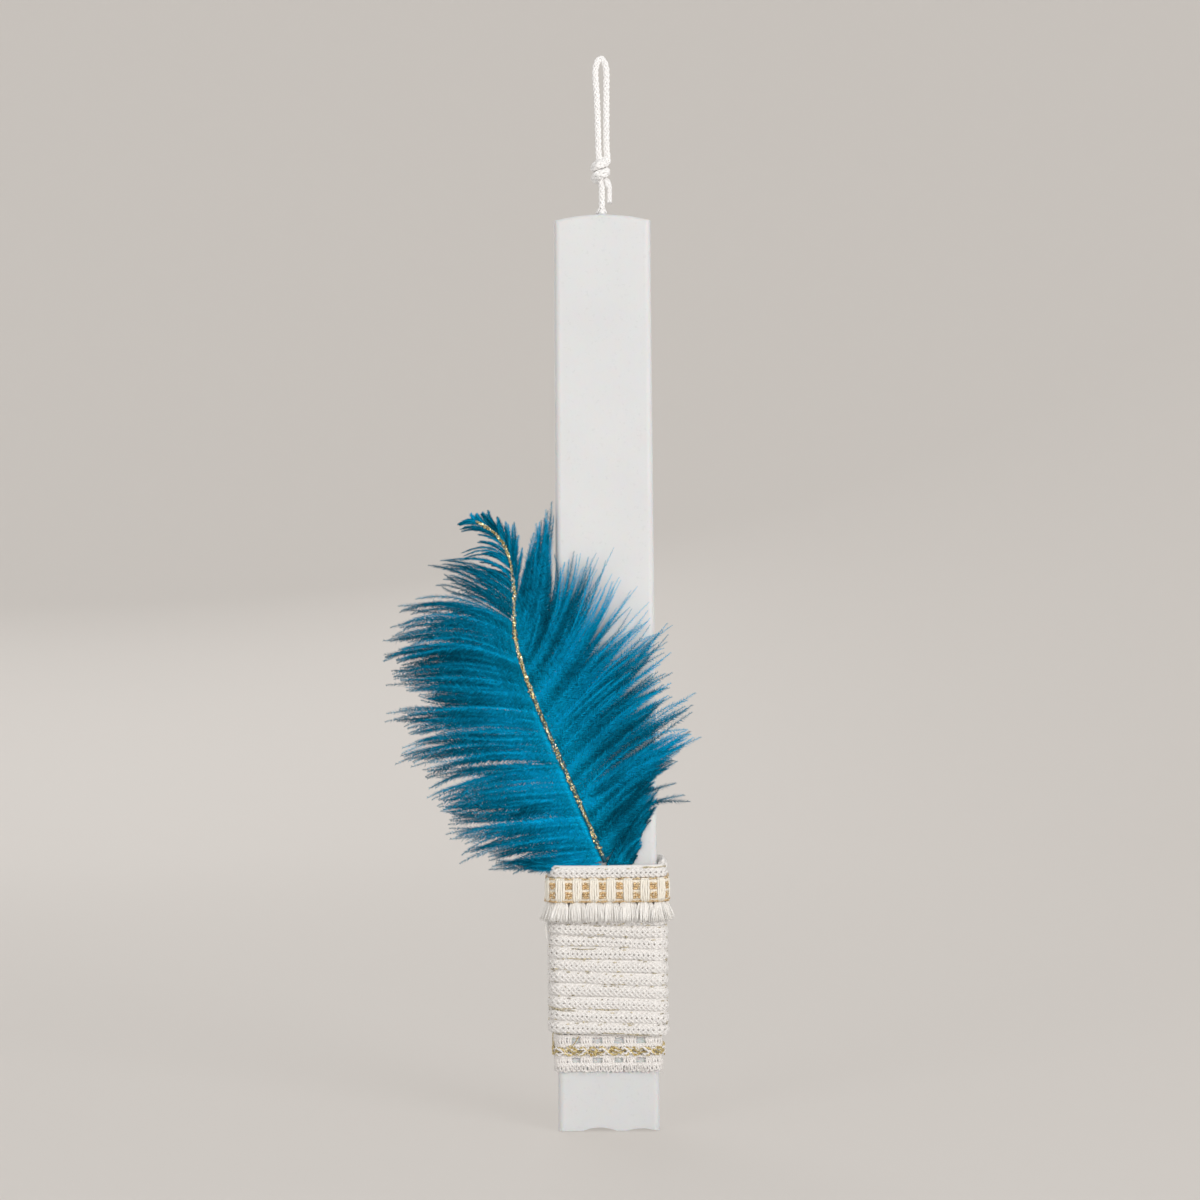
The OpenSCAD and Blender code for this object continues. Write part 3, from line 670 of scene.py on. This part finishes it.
def braid():
    """Woven tape: cords across it, bundles of thicker ones between the columns of gold."""
    rng = np.random.default_rng(21)
    whole = girth(*TAPE_LAY)
    step = whole / COLUMNS
    rise = np.linspace(0, 1, 7)

    # Ground of fine cords
    fine, fine_r = 0.46, 0.3
    lines = []
    for s in np.arange(-whole / 2, whole / 2 - fine / 2, fine):
        height = TAPE_FOOT + 0.1 + (TAPE_H - 0.2) * rise + rng.normal(0, 0.05)
        lines.append(on_tape(s + 0.06 * np.sin(9 * rise + s), height,
                             -0.28 + 0.08 * np.sin(14 * rise + 3 * s)))
    dress(threads("braid_ground", lines, fine_r, BRAID), "braid_tape")

    # Bundles of four cords, by their place from the middle of a bundle
    lines = []
    cord_gap, cord_r = 0.68, 0.4
    bulge = np.sin(np.pi * rise) ** 0.5
    height = TAPE_FOOT + 0.35 + (TAPE_H - 0.7) * rise
    for i in range(COLUMNS):
        for k in (-1.5, -0.5, 0.5, 1.5):
            s = i * step - whole / 2 + COLUMN_SHIFT + cord_gap * k
            lines.append(on_tape(s + 0.05 * rng.normal(size=7) + 0.1 * k * bulge, height,
                                 -0.12 + 0.36 * bulge + 0.04 * rng.normal(size=7)))
    dress(threads("braid_ribs_cords", lines, cord_r, BRAID), "braid_ribs")

    # Squares of bead-like stitches in two tones of gold, and a thin arc above each column
    gold, pale, arcs = [], [], []
    bow = np.linspace(-1, 1, 5)
    half_stitch, pale_share, row_shares = 0.16, 0.25, (0.29, 0.67)
    for i in range(COLUMNS):
        middle = (i + 0.5) * step - whole / 2 + COLUMN_SHIFT
        for row in row_shares:
            centre = TAPE_FOOT + row * TAPE_H
            for b in (-1, 0, 1):
                gold.append(on_tape(middle + 0.95 * bow, centre + 0.72 * b, -0.02))
                for a in (-1, 0, 1):
                    s = middle + 0.74 * a + 0.09 * rng.normal()
                    h = centre + 0.76 * b + 0.09 * rng.normal()
                    tilt = math.radians(rng.uniform(0, 180))
                    stitch = on_tape(s + half_stitch * bow * math.cos(tilt),
                                     h + half_stitch * bow * math.sin(tilt),
                                     0.1 + 0.12 * (1 - bow**2))
                    (pale if rng.uniform() < pale_share else gold).append(stitch)
        arcs.append(on_tape(middle + 1.3 * bow, TAPE_TOP - 0.55 + 0.4 * (1 - bow**2), 0.2))
    dress(threads("braid_gold_squares", gold, 0.37, GOLD), "braid_squares")
    dress(threads("braid_pale_stitches", pale, 0.35, PALE_GOLD))

    # Gold threads that dip under the cords along both edges
    lines = []
    s = np.arange(-whole / 2, whole / 2, 0.3)
    for height, lift in ((TAPE_FOOT + 0.35, 0.16), (TAPE_TOP - 0.3, -0.22)):
        for k in range(2):
            twist = 2 * np.pi * s / 1.4 + np.pi * k
            dip = 0.34 * np.cos(2 * np.pi * (s - COLUMN_SHIFT) / step + np.pi)
            lines.append(on_tape(s, height + 0.2 * np.cos(twist) + 0.2 * wobble(s, 5, rng),
                                 lift + dip + 0.16 * np.sin(twist)))
    dress(threads("braid_gold_edges", lines, 0.18, GOLD, sides=4, closed=True),
          "braid_threads")
    dress(threads("braid_gold_arcs", arcs, 0.13, FOIL, sides=4))


def fringe():
    """Soft cut threads below the tape, gathered in a bundle under each group of cords."""
    rng = np.random.default_rng(31)
    whole = girth(*TAPE_LAY)
    step = whole / COLUMNS
    outer_count, inner_count, thread_r = 84, 14, 0.19
    fall = np.linspace(0, 1, 5)
    gather = 0.36 + 0.16 * np.minimum(1, fall * 2.2)
    lines, radii = [], []
    for i in range(COLUMNS):
        middle = i * step - whole / 2 + COLUMN_SHIFT
        lean = rng.normal(0, 0.25)
        for share in [*np.linspace(-1, 1, outer_count), *np.linspace(-1, 1, inner_count)]:
            inner = len(lines) % (outer_count + inner_count) >= outer_count
            spot = share + rng.normal(0, 0.04)
            layer = 0.3 if inner else rng.uniform(0, 1)
            along = (middle + spot * step * gather + lean * fall
                     + 0.1 * wobble(fall * 3 + i, 2.5, rng))
            length = FRINGE_L * (0.93 if inner else rng.normal(1, 0.035))
            flare = math.radians(7 + 16 * layer)
            out = -0.85 + 0.5 * layer + length * (math.sin(flare) * fall**1.25)
            height = TAPE_FOOT + 0.2 - length * np.cos(flare) * fall
            lines.append(on_tape(along, height, out))
            radii.append((2.1 if inner else 1) * np.interp(fall, [0, 0.8, 1], [1, 0.9, 0.55]))

    # Three loose threads that hang lower at the left edge
    for start, drop, bend in ((-21.2, 6.8, 0.5), (-20.6, 8, -0.6), (-21.6, 5, 0.9)):
        lines.append(on_tape(start + bend * np.sin(3 * fall), TAPE_FOOT - 5 - drop * fall,
                             1.0 - 0.6 * fall + 0.3 * np.sin(4 * fall)))
        radii.append(0.7 + 0 * fall)
    dress(threads("fringe", lines, thread_r, FRINGE, sides=4, radii=radii),
          "braid_fringe")


# Lace

GOLD_ROW = 7.3


def on_lace(along, height, out):
    """On the lace, heights are measured from its foot."""
    return on_band(LACE_LAY, along, LACE_FOOT + height, out)


def lace():
    """Crochet: two rows of holes between rows of chain, petals along the foot and a gold cord."""
    rng = np.random.default_rng(41)
    whole = girth(*LACE_LAY)
    cells, petals, chain_twists = 13, 5, 34
    cell = whole / cells
    top, upper, lower, net = 12.2, 9.2, 5.6, 2.9
    lines = []
    s = np.linspace(-whole / 2, whole / 2, 300, endpoint=False)
    for height in (top, upper, lower, net):
        for k in range(3):
            turn = 2 * np.pi * (s / whole * chain_twists + k / 3)
            lines.append(on_lace(s, height + 0.36 * np.sin(turn) + 0.12 * wobble(s, 17, rng),
                                 -0.1 + 0.24 * np.sin(2 * turn)))
    dress(threads("lace_chains", lines, 0.3, LACE, closed=True), "lace_band")

    lines = []
    f = np.linspace(0, 1, 7)

    def post(s0, s1, low, high):
        """Two threads twisted about each other, from one row of chain to the next."""
        for k in range(2):
            twist = 5 * f + np.pi * k
            lines.append(on_lace(s0 + (s1 - s0) * f + 0.2 * np.cos(twist) + 0.08 * rng.normal(),
                                 low + (high - low) * f, -0.16 + 0.2 * np.sin(twist)))

    turn = np.linspace(0, 2 * np.pi, 11)
    for i in range(cells):
        at = (i + 0.5) * cell - whole / 2
        for d in np.linspace(-1.75, 1.75, 5) + 0.12 * rng.normal(size=5):
            post(at + 0.85 * d, at + d, upper, top)
            post(at + d, at + 0.85 * d, net, lower)
        for d in np.linspace(-0.42, 0.42, 7) * cell:
            post(at + d, at + d + 0.5 * (-1) ** round(d * 10), lower, upper)
        for k in range(petals):
            middle = at + (k - 2) * cell / petals + 0.1 * rng.normal()
            long = 2.25 * rng.normal(1, 0.06)
            wide = 0.45 * cell / petals * rng.normal(1, 0.1)
            lines.append(on_lace(middle + wide * np.sin(turn) * np.sin(turn / 2),
                                 net - long * np.sin(turn / 2) ** 2,
                                 -0.1 + 0.15 * np.sin(2 * turn)))
    for edge in (-2.5 * cell, 2.5 * cell):
        for d in (-0.8, 0, 0.8):
            post(edge + d, edge + d, upper, top)
            post(edge + d, edge + d, net, lower)
    dress(threads("lace_posts", lines, 0.34, LACE))

    # Fine hairs of the spun cotton
    lines, hair_count, hair_r = [], 900, 0.06
    bend = np.linspace(0, 1, 4)
    for i in range(hair_count):
        height = rng.uniform(0.5, 2.5) if i % 2 else rng.uniform(2.5, 12)
        lean, drop = rng.normal(0, 0.8), rng.normal(-0.3, 0.5)
        lines.append(on_lace(rng.uniform(-0.5, 0.5) * whole + lean * bend, height + drop * bend**2,
                             0.2 + rng.uniform(0.2, 0.5) * bend))
    dress(threads("lace_hairs", lines, hair_r, LACE, sides=4))

    # Cord along the middle: cream strands and gold ones that cross over each other
    s = np.linspace(-whole / 2, whole / 2, 560, endpoint=False)

    def strands(waves, lay, gap):
        made = []
        for phase, swing_h in waves:
            angle = 2 * np.pi * s / whole * cells + phase + 0.5 * wobble(s, 13, rng)
            height = GOLD_ROW + swing_h * np.sin(angle) + 0.2 * wobble(s, 3.1, rng)
            lift = 0.72 + 0.3 * np.cos(angle + phase)
            for k in range(2):
                twist = 2 * np.pi * s / lay + np.pi * k
                made.append(on_lace(s, height + gap * np.cos(twist), lift + gap * np.sin(twist)))
        return made

    cream = strands(((0.5, 0.95), (0.5 + np.pi, 0.95)), 2.4, 0.22)
    dress(threads("lace_cord", cream, 0.28, LACE, sides=4, closed=True))
    gold = strands(((0, 1.2), (np.pi, 1.2), (1.6, 0.4)), 1.25, 0.2)
    dress(threads("lace_gold_cord", gold, 0.17, LACE_GOLD, sides=4, closed=True),
          "lace_gold_thread")

    # Short gold stitches that catch the light on the cord
    lines, per_cell, half_stitch = [], 17, 0.3
    bow = np.linspace(-1, 1, 4)
    for _ in range(per_cell * cells):
        along = rng.uniform(-0.5, 0.5) * whole
        swing = rng.choice([-1.1, 1.1]) * math.sin(2 * math.pi * along / whole * cells)
        tilt = rng.uniform(0, math.pi)
        height = GOLD_ROW + swing + 0.35 * rng.normal() + half_stitch * bow * math.sin(tilt)
        lines.append(on_lace(along + half_stitch * bow * math.cos(tilt), height,
                             0.95 + 0.15 * (1 - bow**2)))
    dress(threads("lace_gold_stitches", lines, 0.23, LACE_GOLD, sides=4))

    # A gold thread up the left edge and along the top, and a loose end on the front
    loop = smooth_line([[-20.5, GOLD_ROW, 0.9], [-21, 10.5, 1], [-20.4, 12.9, 0.9],
                        [-16, 13.2, 0.8], [-11, 13.3, 0.8], [-4, 13.1, 0.7]], 0.7)
    end = smooth_line([[-12.2, 8.6, 0.9], [-11.2, 9.9, 1.2], [-10.4, 11.2, 1.3],
                       [-9.7, 12.3, 1.2]], 0.5)
    lines = [on_lace(*line.T) for line in (loop, end)]
    dress(threads("lace_gold_ends", lines, 0.17, LACE_GOLD, sides=4))


# Feather

# Bends of the shaft: right, forward and up from its root
SHAFT_LINE = np.array([[0, 0.95, 0], [-10, 1.6, 23.5], [-19.5, 2.2, 45.5], [-25.7, 2, 61.5],
                       [-29, 1.2, 75], [-29, -0.8, 87], [-30.5, -2.2, 99], [-34.5, -3, 107],
                       [-42.5, -3.5, 112.5]])
# Tips of the barbs: share of the shaft at which a barb starts, and its tip right and up
LEFT_TIPS = np.array([[0, -26, -1.8], [0.012, -34.5, -2], [0.03, -40, 0.4], [0.045, -45, 3],
                      [0.07, -50.3, 8.4], [0.09, -54, 11.5], [0.115, -56.5, 16.7],
                      [0.135, -58, 21.5], [0.165, -61.3, 27.7], [0.19, -64.5, 32],
                      [0.205, -66.5, 36], [0.24, -68, 43],
                      [0.28, -70.5, 50], [0.32, -71, 57], [0.37, -71.5, 65], [0.42, -71.5, 72],
                      [0.455, -71.5, 77], [0.48, -70.5, 82], [0.5, -69.6, 88.5], [0.53, -60, 89],
                      [0.56, -61.3, 102.5], [0.59, -57.6, 103.5], [0.63, -50, 99], [0.67, -46, 101],
                      [0.75, -43, 106], [0.82, -46, 109], [0.9, -49, 111], [1, -47.5, 113.5]])
RIGHT_TIPS = np.array([[0, 12.5, 12], [0.02, 17, 25], [0.035, 18.5, 29], [0.055, 22, 34],
                       [0.075, 28, 39.5], [0.095, 30.5, 44], [0.118, 29, 51], [0.14, 27, 56],
                       [0.165, 25.5, 62], [0.195, 22.5, 70], [0.225, 18.5, 77], [0.255, 14.5, 84],
                       [0.285, 8, 91], [0.315, 3, 98], [0.35, -4, 101], [0.4, -12, 104],
                       [0.401, -16.6, 106], [0.45, -16.9, 113], [0.5, -18, 115.5],
                       [0.54, -20.5, 112], [0.55, -24, 101], [0.6, -25.5, 104], [0.66, -27.5, 111],
                       [0.75, -32, 114], [0.85, -37.5, 115], [1, -46, 115.5]])
FOOT_TIPS = {-1: np.array([[0, -26, -0.9], [1, -37, 0.4]]),
             1: np.array([[0, 9.2, 3.5], [0.3, 13, 11], [1, 19, 25]])}
STRAY_TIPS = np.array([[0.03, 27, 19.5], [0.034, 28, 20.5], [0.055, 22.5, 26.5]])
# Angle above level at which the barbs leave the shaft at a share of it
LEFT_RISE = np.array([[0, -4], [0.03, 0], [0.1, 4], [0.2, 8], [0.3, 14], [0.37, 22], [0.42, 28],
                      [0.46, 32], [0.5, 38], [0.56, 44], [0.63, 48], [0.75, 55], [0.85, 45],
                      [1, 20]])
RIGHT_RISE = np.array([[0, 62], [0.02, 60], [0.05, 52], [0.1, 44], [0.14, 45], [0.2, 48],
                       [0.255, 48], [0.315, 50], [0.35, 52], [0.4, 56], [0.5, 60], [0.55, 75],
                       [0.6, 80], [0.75, 95], [0.85, 115], [1, 150]])
# Share of the shaft, and share of the barbs below it
LEFT_DENSITY = np.array([[0.004, 0], [0.4, 0.77], [0.52, 0.88], [0.62, 0.93], [0.99, 1]])
RIGHT_DENSITY = np.array([[0.004, 0], [0.1, 0.27], [0.4, 0.76], [0.54, 0.91], [0.99, 1]])
# From this share up the barbs stand beside the bar
BESIDE_SHARE = 0.4
BARBULE_PAIRS, BARBULE_R, STEM_R = 112, 0.14, 0.1
BARB_POINTS, PAST_TIP, MASTERS, PIECES = 27, 1.03, 3, 3
SHAFT_R, SHAFT_TAPER = 0.8, 0.5
SHAFT = smooth_line(SHAFT_LINE, 0.25) * [1, -1, 1] + ROOT


def knot_shares():
    """Share of the source's shaft parameter at each point of SHAFT, which runs knot by knot."""
    knots = SHAFT_LINE * [1, -1, 1] + ROOT
    nearest = [np.argmin(np.linalg.norm(SHAFT - k, axis=1)) for k in knots]
    return np.interp(np.arange(len(SHAFT)), nearest, np.linspace(0, 1, len(knots)))


SHAFT_SHARE = knot_shares()


def shaft_at(share):
    return np.stack([np.interp(share, SHAFT_SHARE, SHAFT[:, k]) for k in range(3)], -1)


def shaft_radius(share):
    return SHAFT_R - SHAFT_TAPER * np.clip(share, 0, 1)


def feather_shaft():
    """Round shaft that tapers to its tip."""
    share = np.linspace(0, 1, 90)
    shaft = threads("shaft", [shaft_at(share)], 1, QUILL, sides=12, radii=[shaft_radius(share)])
    dress(shaft, "feather_shaft", "feather")


def glitter():
    """Six-sided flakes strewn along the front of the shaft."""
    rng = np.random.default_rng(51)
    count, flake_r, flake_t = 1500, 0.27, 0.05
    bpy.ops.mesh.primitive_cylinder_add(vertices=6, radius=flake_r * MM, depth=flake_t * MM)
    flake, faces = shape_of(bpy.context.object)
    share = np.sort(rng.uniform(0.012, 0.985, count))
    centre = shaft_at(share)
    way = unit(shaft_at(share + 0.01) - shaft_at(share - 0.01))
    across = unit(np.cross(way, [0, 1, 0]))
    half = 1 - 0.4 * share
    spot = np.clip(rng.normal(0, 0.5, count), -1, 1)
    patchy = 0.75 + 0.25 * np.sin(share * 61) * np.sin(share * 23)
    crown = shaft_radius(share) * np.sqrt(np.clip(1 - (0.8 * spot) ** 2, 0, 1))
    lift = crown + rng.uniform(0.1, 0.45, count)
    centre = centre + (half * spot * patchy)[:, None] * across - lift[:, None] * [0, 1, 0]
    tilt = 0.55 * rng.normal(size=(count, 3))
    normal = unit(np.array([0, -1, 0]) + tilt + 0.5 * spot[:, None] * across)
    side = unit(np.cross(normal, rng.normal(size=(count, 3))))
    third = np.cross(normal, side)
    size = rng.uniform(0.55, 1.15, count)[:, None, None]
    turned = (flake[None, :, :1] * side[:, None] + flake[None, :, 1:2] * third[:, None]
              + flake[None, :, 2:] * normal[:, None])
    points = centre[:, None] + size * turned
    uv = np.repeat(rng.uniform(0, 1, (count, 1, 2)), len(flake), 1)
    flakes = copies("glitter", points, faces, uv, GLITTER)
    bpy.ops.object.shade_flat()
    dress(flakes, "feather_glitter", "feather")


def master_barb(rng):
    """A barb with its downy barbules, laid out straight. Each of its points has its share of the
    way along the barb, its places forward, aside and out from there, and a shade."""
    stem_cuts, stem_taper, stem_flat, stem_shade = 11, 0.75, 1.8, 0.1
    bpy.ops.mesh.primitive_cylinder_add(vertices=3, radius=STEM_R * MM, depth=1 * MM)
    stem_obj = bpy.context.object
    bpy.ops.object.mode_set(mode="EDIT")
    bpy.ops.mesh.select_mode(type="EDGE")
    bpy.ops.mesh.select_all(action="DESELECT")
    bpy.ops.object.mode_set(mode="OBJECT")
    for edge in stem_obj.data.edges:
        a, b = (stem_obj.data.vertices[v].co for v in edge.vertices)
        edge.select = abs(a.z - b.z) > 0.5 * MM
    bpy.ops.object.mode_set(mode="EDIT")
    bpy.ops.mesh.subdivide(number_cuts=stem_cuts)
    bpy.ops.object.mode_set(mode="OBJECT")
    stem, stem_faces = shape_of(stem_obj)
    share = stem[:, 2] + 0.5
    taper = 1 - stem_taper * share
    blocks = [np.column_stack([share, 0 * share, stem[:, 0] * taper * stem_flat,
                               stem[:, 1] * taper, stem_shade + 0 * share])]
    faces = [stem_faces]

    bpy.ops.mesh.primitive_cone_add(vertices=3, radius1=BARBULE_R * MM, radius2=0, depth=1 * MM,
                                    location=(0, 0, 0.5 * MM))
    bpy.ops.object.transform_apply(location=True)
    needle, needle_faces = shape_of(bpy.context.object)
    start = len(stem)
    for i in range(BARBULE_PAIRS):
        for side in (-1, 1):
            at = (i + rng.uniform(0, 1)) / BARBULE_PAIRS * 0.985 + 0.01
            reach = np.interp(at, [0, 0.12, 0.6, 0.9, 1], [1.5, 2.0, 2.0, 1.3, 0.5])
            length = rng.uniform(0.7, 1.3) * reach
            slant = math.radians(rng.uniform(26, 66))
            out = rng.normal(0, 0.4)
            forward = np.array([math.cos(slant), side * math.sin(slant), out * math.sin(slant)])
            forward /= np.linalg.norm(forward)
            a = np.array([-forward[1], forward[0], 0]) / math.hypot(*forward[:2])
            b = np.cross(forward, a)
            thick = np.interp(at, [0, 0.6, 1], [1, 1, 0.6])
            body = (needle[:, 2:] * length * forward
                    + thick * (needle[:, :1] * a + needle[:, 1:2] * b))
            blocks.append(np.column_stack([np.full(len(needle), at), body,
                                           np.full(len(needle), rng.normal(0, 0.2))]))
            faces.append(needle_faces + start)
            start += len(needle)
    return np.vstack(blocks), np.vstack(faces)


def barb_lines(side, tips, rises, share, reach, clump, rng, foot=None):
    """Lines of barbs from the shaft to their tips; they run in clumps that come to soft points.
    rises gives the angle above level at which they leave the shaft. With foot they start beside
    the root, behind the first row of yarn, at these shares of the way to the feather's edge."""
    count = len(share)
    base = shaft_at(share)
    way = unit(shaft_at(share + 0.008) - shaft_at(share - 0.008))
    off = unit(np.stack([way[:, 2], 0 * share, -way[:, 0]], 1)) * side
    base = base + off * shaft_radius(share)[:, None] * 0.6
    aim, loose = share, 4
    if foot is not None:
        foot_half, foot_drop = 8, 2.2 if side > 0 else 1.2
        base[:, 0] += foot_half * side * (1 - foot)
        base[:, 2] -= foot_drop
        aim, loose = foot, 7

    def tip_of(at):
        return np.stack([read(tips, at) + ROOT[0], base[:, 1], read(tips, at, 2) + ROOT[2]], 1)

    group = np.cumsum(rng.uniform(0, 1, count) < 1 / clump)
    size = np.maximum(1, np.bincount(group))
    middle = np.bincount(group, aim) / size
    place_in = (np.arange(count) - (np.cumsum(size) - size)[group] + 0.5) / size[group]
    reach = reach * np.clip(rng.normal(0.97, 0.05, len(size)), 0.82, 1.04)[group]
    stray = rng.normal(0, 0.9, (count, 3)) * [1, 0, 1]
    tip = base + (tip_of(aim) + stray - base) * reach[:, None]
    drawn = base + (tip_of(middle[group]) + stray - base) * reach[:, None]
    length = np.linalg.norm(tip - base, axis=1)
    rise = np.radians(read(rises, share) + rng.normal(0, loose, count)
                      + rng.normal(0, 3, len(size))[group])
    leave = np.stack([side * np.cos(rise), 0 * rise, np.sin(rise)], 1)
    control = base + 0.5 * length[:, None] * leave
    u = np.linspace(0, PAST_TIP, BARB_POINTS)[None, :, None]
    line = (1 - u) ** 2 * base[:, None] + 2 * u * (1 - u) * control[:, None] + u**2 * tip[:, None]
    pull = rng.uniform(0.25, 0.85, (count, 1, 1))
    line += pull * u**4.5 * (drawn - tip)[:, None]
    u = u[:, :, 0]
    waves, phase = rng.uniform(4, 9, (count, 1)), rng.uniform(0, 6, (count, 1))
    sway = 0.018 * length[:, None] * np.sin(u * waves + phase)
    curl = rng.normal(0, 0.03, len(size))[group] + rng.normal(0, 0.02, count)
    curl = curl[:, None] * length[:, None]
    if side < 0:
        curl -= (np.interp(share, [0.4, 0.5], [0, 0.07]) * length)[:, None]
    line[:, :, 2] += sway * u + curl * u**4
    puff = (rng.normal(0, 0.5, len(size))[group] + rng.normal(0, 0.25, count)
            - 0.7 * (place_in - 0.5))
    line[:, :, 1] += puff[:, None] * np.minimum(1, 2.5 * u)
    # Tone of each barb: painted light along one edge of each clump and painted shade along the
    # other, as if lit from above, over a random tone per clump and per barb.
    tone_and_painted_shade = (0.12 + 0.62 * place_in + 0.14 * rng.normal(size=len(size))[group]
             + 0.17 * rng.normal(size=count))
    return length, line, tone_and_painted_shade


def keep_off_wax(points, beside):
    """Moves points out of the wax: beside the bar to its left side, on its face to the front.
    Below the root they keep further off, because they swing back when the feather lifts."""
    edge = half_width(points[..., 2])
    clear, swing_share = 0.25, 0.65
    front = -HALF_T - clear - swing_share * np.maximum(0, ROOT[2] - points[..., 2])
    low_x = np.minimum(points[..., 0], -edge - clear)
    inside = (np.abs(points[..., 0]) < edge + clear) & (points[..., 1] > front)
    points[..., 0] = np.where(beside & (points[..., 0] > -edge - clear), low_x, points[..., 0])
    points[..., 1] = np.where(inside & ~beside, front, points[..., 1])
    return points


def fullness_tone_and_painted_light(side, share, u):
    """How full a barb from this share of the shaft is along its length u, and how much lighter than
    its own tone it is made. The left side is light by the shaft, and its tips have painted shade.
    The right side is dark at its foot and half-way out, and in front of the bare wax its tips are
    open and have painted light, for light that shines through them."""
    if side < 0:
        near = np.interp(share, [0, 0.15, 0.3, 0.5], [0.55, 0.42, 0.3, 0.12])
        full = np.interp(share, [0.48, 0.56], [1, 0.7]) + 0 * u
        return full, np.interp(u, [0, 0.3, 0.5, 1], [near, near, 0.5 * near - 0.06, -0.22])
    thin = np.interp(share, [0.17, 0.25, 0.36, 0.4], [0, 1, 1, 0])
    full = 1 - 0.55 * thin * np.clip((u - 0.45) / 0.4, 0, 1)
    low = np.interp(share, [0.02, 0.09], [-0.28, 0])
    return full, low + np.interp(u, [0, 0.2, 0.35, 0.6, 1], [
        0.05, 0, 0.17 * thin - 0.25, 0.2 * thin - 0.22, 0.05 + 0.4 * thin])


def vane(name, side, tips, rises, density, seed, replaced):
    """One side of the feather: long barbs in clumps over short down near the shaft, each a bent
    copy of one of a few masters."""
    rng = np.random.default_rng(seed)
    long_count, short_count, foot_count = 290, 110, 40 if side > 0 else 24
    long_clump, short_clump, foot_clump, apart = 6, 2, 4, 1.01
    spread = (np.arange(long_count) + rng.uniform(0, 1, long_count)) / long_count
    long_share = np.interp(spread, density[:, 1], density[:, 0])
    short_share = np.sort(rng.uniform(0.005, 0.52 if side > 0 else 0.75, short_count))
    foot = np.sort(rng.uniform(0, 1, foot_count))
    foot_share = np.full(foot_count, 0.004)
    sets = [barb_lines(side, tips, rises, long_share,
                       rng.uniform(0.8, 1.02, long_count), long_clump, rng),
            barb_lines(side, tips, rises, short_share,
                       rng.uniform(0.4, 0.72, short_count), short_clump, rng),
            barb_lines(side, FOOT_TIPS[side], rises, foot_share,
                       rng.uniform(0.7, 1.05, foot_count), foot_clump, rng, foot)]
    # The short down lies behind the long barbs
    behind, swept = 0.35, 0.0022
    sets[1][1][..., 1] += behind
    share = np.concatenate([long_share, short_share, foot_share])
    if side > 0:
        stray_share = STRAY_TIPS[:, 0]
        sets.append(barb_lines(side, STRAY_TIPS, rises, stray_share,
                               np.ones(len(STRAY_TIPS)), apart, rng))
        share = np.concatenate([share, stray_share])
    length, line, tone_and_painted_shade = (np.concatenate([s[k] for s in sets]) for k in range(3))
    # Painted light on the right side, towards the lamps, and painted shade on the left side.
    right_painted_light, left_painted_shade = 0.2, 0.68
    tone_and_painted_shade = tone_and_painted_shade + right_painted_light if side > 0 else tone_and_painted_shade * left_painted_shade
    over = np.maximum(0, np.abs(line[..., 0]) - half_width(line[..., 2]) - 1)
    beside = share > BESIDE_SHARE
    line[..., 1] += np.where(beside[:, None], 0, swept * over**2)
    line = keep_off_wax(line, np.broadcast_to(beside[:, None], line.shape[:2]))
    t = unit(np.gradient(line, axis=1))
    aside = unit(np.cross(t, [0, -1, 0]))
    out = np.cross(aside, t)
    masters = [master_barb(rng) for _ in range(MASTERS)]
    order = np.argsort(share, kind="stable")
    last = BARB_POINTS - 1
    for part, picked in enumerate(np.array_split(order, PIECES)):
        bent, uvs = [], []
        for j in picked:
            shape, faces = masters[j % MASTERS]
            u = shape[:, 0]
            along = np.clip(u + shape[:, 1] / length[j], 0, PAST_TIP) / PAST_TIP * last
            i = np.minimum(along.astype(int), last - 1)
            f = (along - i)[:, None]
            at = [a[j, i] * (1 - f) + a[j, i + 1] * f for a in (line, aside, out)]
            # Painted light and shade along the barb, added to its tone
            full, tone_and_painted_light = fullness_tone_and_painted_light(side, share[j], u)
            full = (np.interp(length[j], [6, 35], [0.5, 1.0]) * full)[:, None]
            points = at[0] + full * shape[:, 2:3] * at[1] + full * shape[:, 3:4] * at[2]
            bent.append(keep_off_wax(points, np.full(len(points), beside[j])))
            uvs.append(np.column_stack([u, np.clip(tone_and_painted_shade[j] + shape[:, 4] + tone_and_painted_light, 0, 1)]))
        barbs = copies(f"{name}_{part + 1}", np.array(bent), faces, np.array(uvs), TEAL)
        dress(barbs, replaced, "feather")


# The object

photo_camera()
studio()
wick()
yarn()
braid()
fringe()
lace()
feather_shaft()
glitter()
vane("barbs_left", -1, LEFT_TIPS, LEFT_RISE, LEFT_DENSITY, 61, "feather_left_vane")
vane("barbs_right", 1, RIGHT_TIPS, RIGHT_RISE, RIGHT_DENSITY, 62, "feather_right_vane")

for name, material in (("candle_body", WAX), ("wick_core", WICK), ("quill_stub", QUILL),
                       ("quill_glue", GLUE)):
    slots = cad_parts[name].data.materials
    slots.clear()
    slots.append(material)
